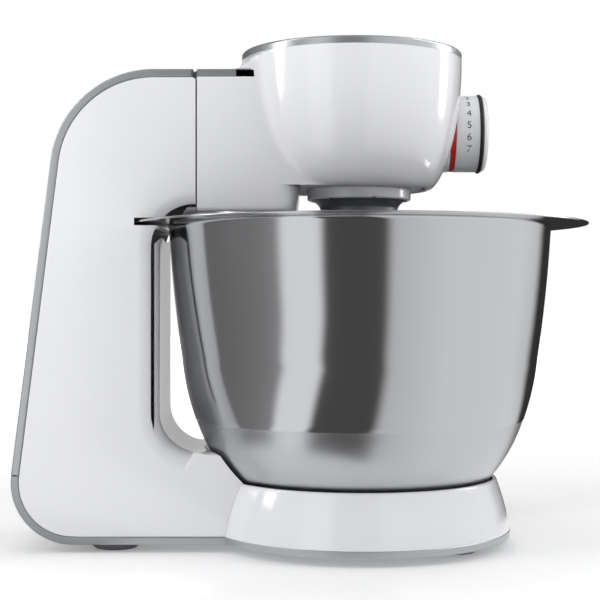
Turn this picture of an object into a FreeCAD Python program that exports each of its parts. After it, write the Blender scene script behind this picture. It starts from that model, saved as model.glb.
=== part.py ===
"""Stand mixer: base with column, tilting arm with planetary drive, bowl, speed knob and release button.

Millimetres, +Z up, the origin on the floor under the middle of the whole machine.
+X runs from the column to the bowl and +Y to the side that carries the release button.
"""
import FreeCAD, Part
import Sketcher
import math
import os

doc = FreeCAD.newDocument("StandMixer")
sheet = doc.addObject("Spreadsheet::Sheet", "Sizes")

DRIVING_SIZES = {
    # stand
    "heel_back": -161.3, "heel_radius": 34.0, "crown_radius": 57.0, "column_top": 265.0,
    "back_lean": 7.13, "stand_width": 84.0, "trim_thick": 4.3, "panel_gap": 0.25, "shell_wall": 2.6,
    "column_front": -80.5, "seam_place": -59.6, "seam_gap": 0.8, "arm_bottom": 187.0,
    "lip_flat": 0.5, "toe_fillet": 22.0, "bar_top": 54.5, "corner_round": 11.0,
    "tray_bottom": 4.5,
    # bowl and dish
    "bowl_axis": 31.2, "dish_radius": 85.8, "dish_top_radius": 78.8, "dish_height": 37.8,
    "dish_wall": 2.4, "dish_floor": 13.0, "bowl_flange": 130.1, "bowl_mouth": 108.8,
    "bowl_height": 182.0, "bowl_sheet": 1.0, "bowl_bottom": 27.0, "seam_height": 70.6,
    "bowl_clearance": 1.6, "rim_clearance": 1.6, "foot_ring_radius": 36.0, "lug_reach": 7.0, "lug_thick": 2.4,
    # head and arm
    "head_axis": 27.0, "head_diameter": 126.4, "head_foot_diameter": 88.2,
    "head_bottom": 201.7, "head_top": 279.7, "arm_wall": 2.6, "neck_front": -3.0,
    # hinge of the arm
    "hinge_drop": 2.4, "knuckle_radius": 2.4, "hinge_pin_radius": 1.3, "hinge_clearance": 0.6,
    "knuckle_length": 14.0, "hinge_half_length": 37.0, "leaf_reach": 24.0, "leaf_thick": 2.2,
    # drive
    "collar_radius": 29.8, "collar_bottom": 195.5, "hub_radius": 22.3, "hub_flare": 27.1,
    "hub_bottom": 172.0, "gear_module": 1.0, "pinion_teeth": 22.0, "gear_height": 8.0,
    "spindle_radius": 7.0, "socket_radius": 4.6, "socket_depth": 34.0, "spindle_drop": 8.0,
    "main_shaft_radius": 5.0, "running_gap": 0.05, "frame_plate_level": 238.0, "plate_thick": 4.0,
    "pulley_radius": 34.0, "small_pulley_radius": 8.0, "belt_width": 7.0, "belt_thick": 1.6,
    "motor_axis": -31.5, "motor_radius": 24.0, "motor_length": 44.0, "motor_shaft_radius": 3.0,
    # speed knob
    "knob_side": 22.0, "knob_level": 236.8, "knob_radius": 22.5, "knob_root": 84.9,
    "knob_length": 22.1, "knob_ring_width": 2.6, "knob_shaft_radius": 3.0,
    # feet, button and cable entry
    "foot_radius": 16.0, "foot_rear": -106.0, "foot_rear_spread": 22.0, "foot_front": 82.0,
    "foot_front_spread": 36.0, "button_place": -134.5, "button_level": 78.0, "button_radius": 9.0,
    "button_proud": 2.5, "gland_place": -128.0, "gland_level": 27.0,
    "gland_radius": 6.0, "screw_radius": 2.0,
}
for row, (word, number) in enumerate(DRIVING_SIZES.items(), start=1):
    sheet.set(f"A{row}", word)
    sheet.set(f"B{row}", str(number))
    sheet.setAlias(f"B{row}", word)
doc.recompute()


class Size:
    """A length that knows both its number and the sheet expression that gives it."""

    def __init__(self, text, number):
        self.text = text
        self.number = number

    @staticmethod
    def of(other):
        return other if isinstance(other, Size) else Size(repr(float(other)), float(other))

    def join(self, sign, other, number, turned=False):
        first, second = (Size.of(other), self) if turned else (self, Size.of(other))
        return Size(f"({first.text} {sign} {second.text})", number)

    def __add__(self, other):
        return self.join("+", other, self.number + Size.of(other).number)

    def __radd__(self, other):
        return self.join("+", other, self.number + Size.of(other).number, True)

    def __sub__(self, other):
        return self.join("-", other, self.number - Size.of(other).number)

    def __rsub__(self, other):
        return self.join("-", other, Size.of(other).number - self.number, True)

    def __mul__(self, other):
        return self.join("*", other, self.number * Size.of(other).number)

    def __rmul__(self, other):
        return self.join("*", other, self.number * Size.of(other).number, True)

    def __truediv__(self, other):
        return self.join("/", other, self.number / Size.of(other).number)

    def __neg__(self):
        return Size(f"(0 - {self.text})", -self.number)


def size(word):
    """The named size from the sheet."""
    return Size(f"Sizes.{word}", float(sheet.get(word)))


def cosine(angle):
    return Size(f"cos({angle.text})", math.cos(math.radians(angle.number)))


def sine(angle):
    return Size(f"sin({angle.text})", math.sin(math.radians(angle.number)))


def bind(thing, **properties):
    """Ties properties of a document object to the sheet."""
    for name, value in properties.items():
        if isinstance(value, Size):
            setattr(thing, name, value.number)
            thing.setExpression(name, value.text)
        else:
            setattr(thing, name, value)


TURNS = {
    "+z": FreeCAD.Rotation(),
    "-z": FreeCAD.Rotation(FreeCAD.Vector(1, 0, 0), 180),
    "+x": FreeCAD.Rotation(FreeCAD.Vector(0, 1, 0), 90),
    "-x": FreeCAD.Rotation(FreeCAD.Vector(0, 1, 0), -90),
    "+y": FreeCAD.Rotation(FreeCAD.Vector(1, 0, 0), -90),
    "-y": FreeCAD.Rotation(FreeCAD.Vector(1, 0, 0), 90),
}


def place(thing, at, towards="+z"):
    """Stands an object at a point, its own +Z axis turned towards one of the six directions."""
    point = [Size.of(value) for value in at]
    base = FreeCAD.Vector(*[value.number for value in point])
    thing.Placement = FreeCAD.Placement(base, TURNS[towards])
    for letter, value in zip("xyz", point):
        thing.setExpression(f"Placement.Base.{letter}", value.text)
    return thing


def made(kind, label):
    """A new document object with its label."""
    thing = doc.addObject(kind, label)
    thing.Label = label
    return thing


def rod(label, radius, length, at, towards="+z"):
    thing = made("Part::Cylinder", label)
    bind(thing, Radius=radius, Height=length)
    return place(thing, at, towards)


def block(label, low, high):
    """A box between two opposite corners."""
    thing = made("Part::Box", label)
    low = [Size.of(value) for value in low]
    spans = [Size.of(top) - bottom for top, bottom in zip(high, low)]
    bind(thing, Length=spans[0], Width=spans[1], Height=spans[2])
    return place(thing, low)


def cut(label, base, *tools):
    """The base with every tool taken away."""
    thing = made("Part::Cut", label)
    thing.Base = base
    thing.Tool = tools[0] if len(tools) == 1 else fuse(label + "_cutters", *tools)
    return thing


def fuse(label, *shapes):
    thing = made("Part::MultiFuse", label)
    thing.Shapes = list(shapes)
    thing.Refine = True
    return thing


def common(label, *shapes):
    thing = made("Part::MultiCommon", label)
    thing.Shapes = list(shapes)
    return thing


def group(label, *shapes):
    """Separate solids that share one sub-part."""
    thing = made("Part::Compound", label)
    thing.Links = list(shapes)
    return thing


def computed(label, shape, at=(0, 0, 0), towards="+z"):
    """A sub-part whose shape is worked out here because no feature fits it."""
    thing = made("Part::Feature", label)
    thing.Shape = shape
    return place(thing, at, towards)


def origin_plane(body, role):
    return next(plane for plane in body.Origin.OriginFeatures if plane.Role == role)


def outline_sketch(body, label, role, points):
    """A closed outline. Each point is (across, up) or (across, up, radius, side) for an arc that ends there.

    side is +1 where the arc bulges to the left of its direction of travel and -1 to the right.
    """
    sketch = body.newObject("Sketcher::SketchObject", label + "_outline")
    sketch.AttachmentSupport = (origin_plane(body, role), [""])
    sketch.MapMode = "FlatFace"
    ends = [(Size.of(point[0]), Size.of(point[1])) for point in points]
    vectors = [FreeCAD.Vector(across.number, up.number, 0) for across, up in ends]
    count = len(points)
    for index, point in enumerate(points):
        start, end = vectors[index - 1], vectors[index]
        if len(point) == 2:
            sketch.addGeometry(Part.LineSegment(start, end), False)
            continue
        radius, side = Size.of(point[2]).number, point[3]
        chord = end - start
        left = FreeCAD.Vector(-chord.y, chord.x, 0).normalize()
        rise = radius - math.sqrt(max(radius ** 2 - (chord.Length / 2) ** 2, 0))
        middle = (start + end) * 0.5 + left * rise * side
        counterclockwise = (start, middle, end) if side < 0 else (end, middle, start)
        sketch.addGeometry(Part.Arc(*counterclockwise), False)
    for index in range(count):
        first, second = arc_ends(sketch, index, vectors[index - 1])
        following = (index + 1) % count
        joint_start = arc_ends(sketch, following, vectors[index])[0]
        sketch.addConstraint(Sketcher.Constraint("Coincident", index, second, following, joint_start))
        for kind, value in (("DistanceX", ends[index][0]), ("DistanceY", ends[index][1])):
            number = sketch.addConstraint(Sketcher.Constraint(kind, -1, 1, index, second, value.number))
            sketch.setExpression(f"Constraints[{number}]", value.text)
        if len(points[index]) == 4:
            radius = Size.of(points[index][2])
            number = sketch.addConstraint(Sketcher.Constraint("Radius", index, radius.number))
            sketch.setExpression(f"Constraints[{number}]", radius.text)
    return sketch


def arc_ends(sketch, index, start):
    """Which end of a line or arc is its first one in the outline: (first, second) as 1 or 2."""
    edge = sketch.Geometry[index]
    if (edge.StartPoint - start).Length < 1e-6:
        return 1, 2
    return 2, 1


def turned(label, points, at=(0, 0, 0), towards="+z", angle=360.0):
    """A body of revolution: (radius, height) points about the body's own axis."""
    body = made("PartDesign::Body", label)
    sketch = outline_sketch(body, label, "XZ_Plane", points)
    spin = body.newObject("PartDesign::Revolution", label + "_turning")
    spin.Profile = sketch
    spin.ReferenceAxis = (sketch, ["V_Axis"])
    spin.Angle = angle
    body.Tip = spin
    return place(body, at, towards)


def extruded(label, points, width, role="XZ_Plane", at=(0, 0, 0)):
    """A plate of the given outline, its thickness half to each side of the sketch plane."""
    body = made("PartDesign::Body", label)
    sketch = outline_sketch(body, label, role, points)
    pad = body.newObject("PartDesign::Pad", label + "_pad")
    pad.Profile = sketch
    pad.Midplane = True
    bind(pad, Length=Size.of(width))
    body.Tip = pad
    return place(body, at)


def ring(label, outer, inner, thick, at, towards="+z"):
    """A flat ring or tube."""
    return turned(label, [(inner, 0), (outer, 0), (outer, thick), (inner, thick)], at, towards)


# ---------------------------------------------------------------- shared places

LEAN = size("back_lean")
HEEL = (size("heel_back") + size("heel_radius"), size("tray_bottom") + size("heel_radius"))
CROWN_UP = size("column_top") - size("crown_radius")
CROWN = (HEEL[0] + ((CROWN_UP - HEEL[1]) * sine(LEAN) + size("crown_radius") - size("heel_radius"))
         / cosine(LEAN), CROWN_UP)
HALF_WIDTH = size("stand_width") / 2
TRIM = size("trim_thick")
WALL = size("shell_wall")
GAP = size("panel_gap")
AXIS = size("bowl_axis")
TRAY_TOP = size("tray_bottom") + TRIM
PIN = (size("seam_place"), size("column_top") - size("hinge_drop"))
FOOT_FLOOR = size("bowl_bottom")


def back_point(centre, radius):
    """Where the leaning back line touches a corner circle."""
    return centre[0] - radius * cosine(LEAN), centre[1] + radius * sine(LEAN)


def column_outline(inset):
    """Side view of the column, the fillets and the foot bar, moved inwards by an inset."""
    heel = size("heel_radius") - inset
    crown = size("crown_radius") - inset
    front = size("column_front") - (inset - TRIM - GAP)
    seam = size("seam_place") - size("seam_gap") / 2 - (inset - TRIM - GAP)
    lip = seam - front - size("lip_flat")
    toe = size("toe_fillet") + (inset - TRIM - GAP)
    low = size("arm_bottom") + (inset - TRIM - GAP)
    bar = size("bar_top") - (inset - TRIM - GAP)
    top = size("column_top") - inset
    bottom = size("tray_bottom") + inset
    upper, lower = back_point(CROWN, crown), back_point(HEEL, heel)
    return [
        (seam, low), (seam, top), (CROWN[0], top), (*upper, crown, -1), lower,
        (HEEL[0], bottom, heel, -1), (AXIS, bottom), (AXIS, bar), (front + toe, bar),
        (front, bar + toe, toe, 1), (front, low - lip), (front + lip, low, lip, 1),
    ]


def bowl_profile(grow, bottom_grow):
    """Half section of the bowl's outside, made larger by a clearance, closed on its axis."""
    seam = size("seam_height")
    mouth = size("bowl_mouth") + grow
    step = Size.of(0.5)
    top = size("bowl_height")
    return [
        (0, FOOT_FLOOR - bottom_grow), (mouth * 0.585, FOOT_FLOOR - bottom_grow),
        (mouth * 0.635, FOOT_FLOOR + 4.5, 9, -1), (mouth * 0.864 - step, seam, 95, -1),
        (mouth * 0.864, seam + 0.6), (mouth * 0.934, seam + 35.4, 146, -1),
        (mouth, top - 8, 757, -1), (mouth + 0.4, top - 3.4),
    ]


def bowl_body(label, grow):
    """The solid that the bowl fills, grown by a clearance, up to its flange."""
    top = size("bowl_height")
    return turned(label, bowl_profile(grow, grow) + [(size("bowl_mouth") + grow + 0.4, top), (0, top)],
                  (AXIS, 0, 0))


# ---------------------------------------------------------------- stand

def column_solid(label, inset, side_inset):
    """The column with rounded front edges, its outside moved inwards by the insets."""
    width = size("stand_width") - side_inset * 2
    plate = extruded(label + "_side_view", column_outline(inset), width)
    doc.recompute()
    round_radius = size("corner_round") - side_inset
    half = width.number / 2
    extra = inset.number + 1
    chosen = []
    for index, edge in enumerate(plate.Shape.Edges, start=1):
        box, middle = edge.BoundBox, edge.CenterOfMass
        on_side = box.YLength < 1e-3 and abs(abs(middle.y) - half) < 1e-3
        across = size("column_front").number - extra < middle.x < AXIS.number - extra
        up = size("bar_top").number - extra < middle.z < size("arm_bottom").number + extra
        if on_side and across and up:
            chosen.append(index)
    pad = plate.Tip
    fillet = plate.newObject("PartDesign::Fillet", label + "_front_edges")
    fillet.Base = (pad, [f"Edge{number}" for number in chosen])
    bind(fillet, Radius=round_radius)
    plate.Tip = fillet
    return plate


COLUMN_INSIDE = column_solid("column_inside", TRIM + GAP + WALL, WALL)


def bar_end_cutters(label):
    """What the foot bar stops at: the dish's outside and the room for the bowl."""
    return dish_solid(label + "_dish_room", GAP), bowl_body(label + "_bowl_room", size("bowl_clearance") + 1.5)


def hinge_room(label, low_x, high_x):
    """The pocket for the hinge leaves under the top trim."""
    half = size("hinge_half_length") + 0.6
    return block(label, (low_x, -half, PIN[1] - size("knuckle_radius") - size("leaf_thick") - 0.8),
                 (high_x, half, size("column_top") + 1))


def knuckle_room(label):
    return rod(label, size("knuckle_radius") + size("hinge_clearance"), size("stand_width") + 20,
               (PIN[0], -(HALF_WIDTH + 10), PIN[1]), "+y")


def rim_slot(label, grow):
    """Room for the bowl's rim where it passes through the front of the column."""
    gap = size("rim_clearance")
    low = size("bowl_height") - size("bowl_sheet") - gap - grow
    return rod(label, size("bowl_flange") + gap + grow, size("bowl_sheet") + gap * 2 + grow * 2, (AXIS, 0, low))


def rim_pocket():
    """Liner that closes the housing round the rim's slot."""
    wall = Size.of(1.6)
    return cut("rim_pocket", common("pocket_body", rim_slot("pocket_outside", wall), COLUMN_INSIDE),
               rim_slot("pocket_room", Size.of(0)))


def column_shells():
    """Left and right halves of the white column housing, closed towards the arm."""
    outside = column_solid("column_outside", TRIM + GAP, Size.of(0))
    cutters = bar_end_cutters("column")
    hinge = hinge_room("column_hinge_room", PIN[0] - size("leaf_reach") - 1, PIN[0] + 10)
    button = rod("button_hole", size("button_radius") + 0.4, 12,
                 (size("button_place"), HALF_WIDTH - 6, size("button_level")), "+y")
    gland = rod("gland_hole", size("gland_radius"), 12,
                (size("gland_place"), HALF_WIDTH - 6, size("gland_level")), "+y")
    whole = cut("column_whole", outside, COLUMN_INSIDE, *cutters, hinge, knuckle_room("column_knuckle_room"),
                button, gland, rim_slot("column_rim_slot", Size.of(0)))
    left = block("left_side_room", (-300, -200, -10), (300, 0, 400))
    right = block("right_side_room", (-300, 0, -10), (300, 200, 400))
    return [common("column_shell_left", whole, left), common("column_shell_right", whole, right)]


def back_band():
    """The satin trim that runs up the back of the column and over its top."""
    inner_crown, inner_heel = size("crown_radius") - TRIM, size("heel_radius") - TRIM
    outer_top, inner_top = back_point(CROWN, size("crown_radius")), back_point(CROWN, inner_crown)
    outer_low, inner_low = back_point(HEEL, size("heel_radius")), back_point(HEEL, inner_heel)
    seam = size("seam_place") - size("seam_gap") / 2
    top = size("column_top")
    plate = extruded("back_band_plate", [
        (seam, top - TRIM), (seam, top), (CROWN[0], top), (*outer_top, size("crown_radius"), -1),
        outer_low, inner_low, inner_top, (CROWN[0], top - TRIM, inner_crown, 1)], size("stand_width"))
    return cut("back_band", plate, knuckle_room("band_knuckle_room"))


def bottom_tray():
    """The grey tray: a plate under the bar, its heel curling up the back, and a disc under the dish."""
    inner = size("heel_radius") - TRIM
    outer_low, inner_low = back_point(HEEL, size("heel_radius")), back_point(HEEL, inner)
    step = 0.6
    bottom = size("tray_bottom")
    plate = extruded("tray_bar", [
        (outer_low[0], outer_low[1] - step), (HEEL[0], bottom, size("heel_radius"), -1), (AXIS, bottom),
        (AXIS, TRAY_TOP), (HEEL[0], TRAY_TOP), (inner_low[0], outer_low[1] - step, inner, 1)],
        size("stand_width"))
    disc = rod("tray_disc", size("dish_radius") + 0.3, TRIM, (AXIS, 0, bottom))
    holes = [rod(f"tray_screw_hole_{number}", size("screw_radius") + 0.2, TRIM + 2, (x, y, bottom - 1))
             for number, (x, y) in enumerate(screw_places())]
    return cut("bottom_tray", fuse("tray_whole", plate, disc), *holes)


def screw_places():
    """The housing screws of the stand: two under the column, two under the dish."""
    return [(size("foot_rear") + 26, -24), (size("foot_rear") + 26, 24), (AXIS - 40, -52), (AXIS - 40, 52)]


def base_screws():
    """Pan-head screws from below into bosses of the housing."""
    screws = []
    for number, (x, y) in enumerate(screw_places()):
        head = size("screw_radius") * 1.9
        under = size("tray_bottom")
        screws.append(turned(f"base_screw_{number}", [
            (0, -1.6), (head * 0.8, -1.6), (head, 0), (size("screw_radius"), 0),
            (size("screw_radius"), 9), (0, 11)], (x, y, under)))
    return group("base_screws", *screws)


def feet():
    """Four rubber feet, each narrowing towards the floor."""
    radius = size("foot_radius")
    top = size("tray_bottom")
    rear, front = size("foot_rear"), size("foot_front")
    places = {
        "foot_rear_left": (rear, -size("foot_rear_spread")), "foot_rear_right": (rear, size("foot_rear_spread")),
        "foot_front_left": (front, -size("foot_front_spread")),
        "foot_front_right": (front, size("foot_front_spread")),
    }
    return [turned(name, [(0, 0), (radius * 0.72, 0), (radius, top, radius * 0.9, -1), (0, top)], (x, y, 0))
            for name, (x, y) in places.items()]


def dish_solid(label, grow):
    """Outside of the round dish that carries the bowl."""
    top, low = size("dish_top_radius") + grow, size("dish_radius") + grow
    height = size("dish_height") + grow
    return turned(label, [(0, TRAY_TOP), (low, TRAY_TOP), (top, height - 1.8, 118, -1),
                          (top - 1.4, height, 1.9, -1), (0, height)], (AXIS, 0, 0))


def bowl_dish():
    """The white dish, open on top for the bowl and underneath for the tray."""
    inner = size("dish_top_radius") - 2.2
    floor = size("dish_floor")
    well = rod("dish_well", inner, 60, (AXIS, 0, floor + size("dish_wall")))
    hollow = rod("dish_underside", size("dish_radius") - 7, floor - TRAY_TOP, (AXIS, 0, TRAY_TOP))
    return cut("bowl_dish", dish_solid("dish_outside", Size.of(0)), well, hollow)


def lug_wedge(label, radius, low, high, angle, turn):
    """A pie slice about the bowl's axis."""
    wedge = made("Part::Cylinder", label)
    bind(wedge, Radius=radius, Height=high - low)
    wedge.Angle = angle
    place(wedge, (AXIS, 0, low))
    wedge.Placement.Rotation = FreeCAD.Rotation(FreeCAD.Vector(0, 0, 1), turn)
    return wedge


def bayonet_socket():
    """Ring in the dish with three entries and a groove that the bowl's lugs turn into."""
    floor = size("dish_floor") + size("dish_wall")
    top = FOOT_FLOOR - 0.6
    lug_radius = size("foot_ring_radius") + size("lug_reach")
    wall = ring("socket_wall", lug_radius + 6, size("foot_ring_radius") + 1.2, top - floor, (AXIS, 0, floor))
    groove = ring("socket_groove", lug_radius + 1, 1, size("lug_thick") + 1.4, (AXIS, 0, floor + 1.4))
    entries = [lug_wedge(f"socket_entry_{turn}", lug_radius + 1, floor + 1.4, top + 1, 44.0, turn - 29)
               for turn in (0, 120, 240)]
    return cut("bayonet_socket", wall, groove, *entries)


def bowl_foot():
    """Foot ring riveted under the bowl, with three lugs."""
    floor = size("dish_floor") + size("dish_wall") + 2.1
    radius = size("foot_ring_radius")
    tube = ring("foot_tube", radius, radius - 2.5, FOOT_FLOOR - floor, (AXIS, 0, floor))
    inner = rod("lug_core", radius - 1, 30, (AXIS, 0, floor - 5))
    lugs = [cut(f"lug_{turn}", lug_wedge(f"lug_slice_{turn}", radius + size("lug_reach"), floor,
                                         floor + size("lug_thick"), 28.0, turn + 6), inner)
            for turn in (0, 120, 240)]
    return fuse("bowl_foot", tube, *lugs)


def bowl_shell():
    """Pressed steel bowl with its wide flat rim."""
    sheet_thick = size("bowl_sheet")
    top = size("bowl_height")
    outside = bowl_body("bowl_outside", Size.of(0))
    inside_points = bowl_profile(-sheet_thick, -sheet_thick)
    inside = turned("bowl_inside", inside_points + [(size("bowl_mouth") - sheet_thick + 0.4, top + 5),
                                                    (0, top + 5)], (AXIS, 0, 0))
    rim = ring("bowl_rim", size("bowl_flange"), size("bowl_mouth") - 2, sheet_thick,
               (AXIS, 0, top - sheet_thick))
    return cut("bowl_shell", fuse("bowl_with_rim", outside, rim), inside)


# ---------------------------------------------------------------- arm housing

ARM_REAR = size("seam_place") + size("seam_gap") / 2
HEAD_X = size("head_axis")
DECK_LEVEL = size("column_top") - TRIM
SHELL_TOP = size("head_top") - TRIM


def head_radius(level):
    """The head's radius at a level: nearly upright at the top, rounding in at the foot."""
    top, foot = size("head_diameter").number / 2, size("head_foot_diameter").number / 2
    drop = (SHELL_TOP.number - level) / (SHELL_TOP.number - size("head_bottom").number)
    drop = min(max(drop, 0.0), 1.0)
    return foot + (top - foot) * (1 - drop ** 2) ** 0.6


def head_circle(level, radius):
    """A circle about the head's axis at a level."""
    return Part.Wire(Part.makeCircle(radius, FreeCAD.Vector(HEAD_X.number, 0, level)))


def head_wire(level, inset):
    """The head's outline at a level."""
    return head_circle(level, head_radius(level) - inset)


def neck_wire(level, inset):
    """The neck at a level: as wide as the column, from the seam to the head's middle."""
    rear, front = ARM_REAR.number + inset, HEAD_X.number
    half = HALF_WIDTH.number - inset
    corners = [FreeCAD.Vector(x, y, level) for x, y in ((rear, -half), (rear, half), (front, half), (front, -half))]
    return Part.makePolygon(corners + corners[:1])


def levels_between(low, high, count):
    """Levels that crowd towards the foot, where the housing rounds in fastest."""
    return [low + (high - low) * (step / (count - 1)) ** 1.6 for step in range(count)]


def head_solid(inset, low, high):
    return Part.makeLoft([head_wire(level, inset) for level in levels_between(low, high, 8)], True, False)


def neck_solid(inset, low, high):
    """The neck, its front lower part cut back to make room for the drive."""
    loft = Part.makeLoft([neck_wire(level, inset) for level in levels_between(low, high, 6)], True, False)
    head_low, front = size("head_bottom").number, size("neck_front").number - inset
    room = Part.makeBox(200, 300, head_low - low + 10, FreeCAD.Vector(front, -150, low - 10))
    room.translate(FreeCAD.Vector(0, 0, inset))
    return loft.cut(room)


def arm_outside():
    low = size("arm_bottom").number
    neck = neck_solid(0, low, DECK_LEVEL.number)
    return head_solid(0, size("head_bottom").number, SHELL_TOP.number).fuse(neck)


def arm_inside():
    wall = size("arm_wall").number
    neck = neck_solid(wall, size("arm_bottom").number + wall, DECK_LEVEL.number - wall)
    head = head_solid(wall, size("head_bottom").number - 0.01, SHELL_TOP.number + 0.01)
    return head.fuse(neck)


def arm_shell():
    """The white arm housing: neck and bowl-shaped head in one moulding, open above and below the drive."""
    shell = computed("arm_moulding", arm_outside().cut(arm_inside()))
    hinge = hinge_room("arm_hinge_room", PIN[0] - 10, PIN[0] + size("leaf_reach") + 1)
    boss = rod("arm_boss_room", size("knob_radius") - 2.6, 60, (HEAD_X + 18, size("knob_side"),
                                                               size("knob_level")), "+x")
    dial = rod("arm_dial_room", size("knob_radius") + 1.6, 60, (size("knob_root") - 0.2, size("knob_side"),
                                                              size("knob_level")), "+x")
    return cut("arm_shell", shell, hinge, knuckle_room("arm_knuckle_room"), boss, dial)


def knob_boss():
    """Round boss on the head that carries the speed knob."""
    start = HEAD_X + 18
    tube = turned("boss_tube", [
        (size("knob_radius") - 2.6, 0), (size("knob_radius"), 0),
        (size("knob_radius"), size("knob_root") - start - 0.3), (size("knob_shaft_radius") + 0.3,
                                                                size("knob_root") - start - 0.3),
        (size("knob_shaft_radius") + 0.3, size("knob_root") - start - 2.7),
        (size("knob_radius") - 2.6, size("knob_root") - start - 2.7)],
        (start, size("knob_side"), size("knob_level")), "+x")
    head = computed("head_for_boss", head_solid(0, size("head_bottom").number, SHELL_TOP.number))
    return cut("knob_boss", tube, head)


def round_plate(label, inset, low, high, hole_radius=None):
    """A plate of the head's top circle between two levels."""
    face = Part.Face(head_circle(low, size("head_diameter").number / 2 - inset))
    plate = face.extrude(FreeCAD.Vector(0, 0, high - low))
    if hole_radius:
        plate = plate.cut(Part.makeCylinder(hole_radius, 60, FreeCAD.Vector(AXIS.number, 0, low - 20)))
    return computed(label, plate)


def head_trim_ring():
    """Satin ring round the head's top edge."""
    low, high = SHELL_TOP.number, size("head_top").number
    outer = round_plate("trim_disc", 0, low, high)
    inner = round_plate("trim_disc_inside", TRIM.number, low - 1, high + 1)
    return cut("head_trim_ring", outer, inner)


def head_deck():
    """White top plate inside the ring, with the opening of the upper drive."""
    ring_inside = TRIM.number + GAP.number
    high = size("head_top").number - 1.2
    return round_plate("head_deck", ring_inside, high - 2.4, high, 24.5)


def arm_deck_trim():
    """Satin strip over the neck, from the hinge to the head."""
    low, high = DECK_LEVEL.number, size("column_top").number
    face = Part.Face(neck_wire(low, 0))
    plate = face.extrude(FreeCAD.Vector(0, 0, high - low))
    head = head_solid(-GAP.number, size("head_bottom").number, SHELL_TOP.number)
    strip = computed("deck_strip", plate.cut(head).common(
        Part.makeBox(52, 200, 40, FreeCAD.Vector(ARM_REAR.number - 1, -100, low - 10))))
    inner_knuckles = rod("deck_knuckle_room", size("knuckle_radius") + size("hinge_clearance"),
                         size("hinge_half_length") * 2 + 1.2, (PIN[0], -(size("hinge_half_length") + 0.6),
                                                              PIN[1]), "+y")
    return cut("arm_deck_trim", strip, inner_knuckles)


def arm_under_cover():
    """Plate that closes the head underneath, round the drive collar."""
    low = size("head_bottom").number
    half = size("head_foot_diameter").number / 2 - size("arm_wall").number - 0.9
    plate = Part.Face(head_circle(low, half)).extrude(FreeCAD.Vector(0, 0, 1.8))
    bore = Part.makeCylinder(size("collar_radius").number - 2.0, 30, FreeCAD.Vector(AXIS.number, 0, low - 10))
    room = Part.makeBox(60, 200, 30, FreeCAD.Vector(size("neck_front").number - 60, -100, low - 10))
    return computed("arm_under_cover", plate.cut(bore).cut(room))


def drive_collar():
    """White ring round the drive, under the head."""
    radius, low = size("collar_radius"), size("collar_bottom")
    return turned("drive_collar", [
        (size("hub_flare") + 0.8, 0), (radius - 1, 0), (radius, 1, 1.2, -1),
        (radius, size("head_bottom") - low - 0.1), (size("hub_flare") + 0.8, size("head_bottom") - low - 0.1)],
        (AXIS, 0, low))


# ---------------------------------------------------------------- hinge

def knuckle(label, centre, length):
    bore = rod(label + "_bore", size("hinge_pin_radius") + size("running_gap"), length + 2,
               (PIN[0], centre - length / 2 - 1, PIN[1]), "+y")
    return rod(label + "_barrel", size("knuckle_radius"), length, (PIN[0], centre - length / 2, PIN[1]),
               "+y"), bore


def hinge_leaf(label, centres, towards_arm):
    """Knuckles round the pin with a leaf that lies under the trim."""
    length = size("knuckle_length") - 0.6
    barrels, bores = zip(*[knuckle(f"{label}_{number}", centre, length)
                           for number, centre in enumerate(centres)])
    high = size("column_top") - TRIM - 0.05
    low = high - size("leaf_thick")
    near, far = PIN[0], PIN[0] + size("leaf_reach") * (1 if towards_arm else -1)
    left, right = (near, far) if towards_arm else (far, near)
    webs = [block(f"{label}_web_{number}", (left, centre - length / 2, low), (right, centre + length / 2, high))
            for number, centre in enumerate(centres)]
    return cut(label, fuse(label + "_whole", *barrels, *webs), *bores)


def hinge():
    """The arm's hinge at the top of the seam: two leaves and the pin."""
    pitch = size("knuckle_length")
    fixed = hinge_leaf("column_hinge_leaf", [-pitch, pitch], False)
    moving = hinge_leaf("arm_hinge_leaf", [-pitch * 2, Size.of(0), pitch * 2], True)
    pin = rod("hinge_pin", size("hinge_pin_radius"), size("hinge_half_length") * 2,
              (PIN[0], -size("hinge_half_length"), PIN[1]), "+y")
    return [fixed, moving, pin]


# ---------------------------------------------------------------- drive

RING_TEETH = size("pinion_teeth") * 2
MODULE = size("gear_module")
OFFSET = MODULE * size("pinion_teeth") / 2
GEAR_LOW = size("head_bottom") + 1.3
HUB_TOP = size("collar_bottom") + 5
PLATE_LOW = size("frame_plate_level")
PLATE_HIGH = PLATE_LOW + size("plate_thick")
PULLEY_LOW = PLATE_HIGH + 3
MOTOR_X = size("motor_axis")
HUB_PLACE = (AXIS, 0)


def toothed_face(teeth, tip, base, tip_share, base_share):
    """A face with straight-flanked teeth. tip and base are radii; the shares are of the tooth pitch."""
    step = 2 * math.pi / teeth
    points = []
    for tooth in range(teeth):
        middle = tooth * step
        for radius, side in ((base, -base_share), (tip, -tip_share), (tip, tip_share), (base, base_share)):
            angle = middle + side * step
            points.append(FreeCAD.Vector(radius * math.cos(angle), radius * math.sin(angle), 0))
    return Part.Face(Part.makePolygon(points + [points[0]]))


def planet_pinion():
    """Pinion on the tool spindle that rolls inside the fixed ring gear."""
    module, teeth = MODULE.number, int(size("pinion_teeth").number)
    pitch = module * teeth / 2
    face = toothed_face(teeth, pitch + 0.8 * module, pitch - 1.1 * module, 0.12, 0.30)
    gear = face.extrude(FreeCAD.Vector(0, 0, size("gear_height").number))
    gear = gear.cut(Part.makeCylinder(size("spindle_radius").number, 40, FreeCAD.Vector(0, 0, -5)))
    return computed("planet_pinion", gear, (AXIS + OFFSET, 0, GEAR_LOW))


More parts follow.
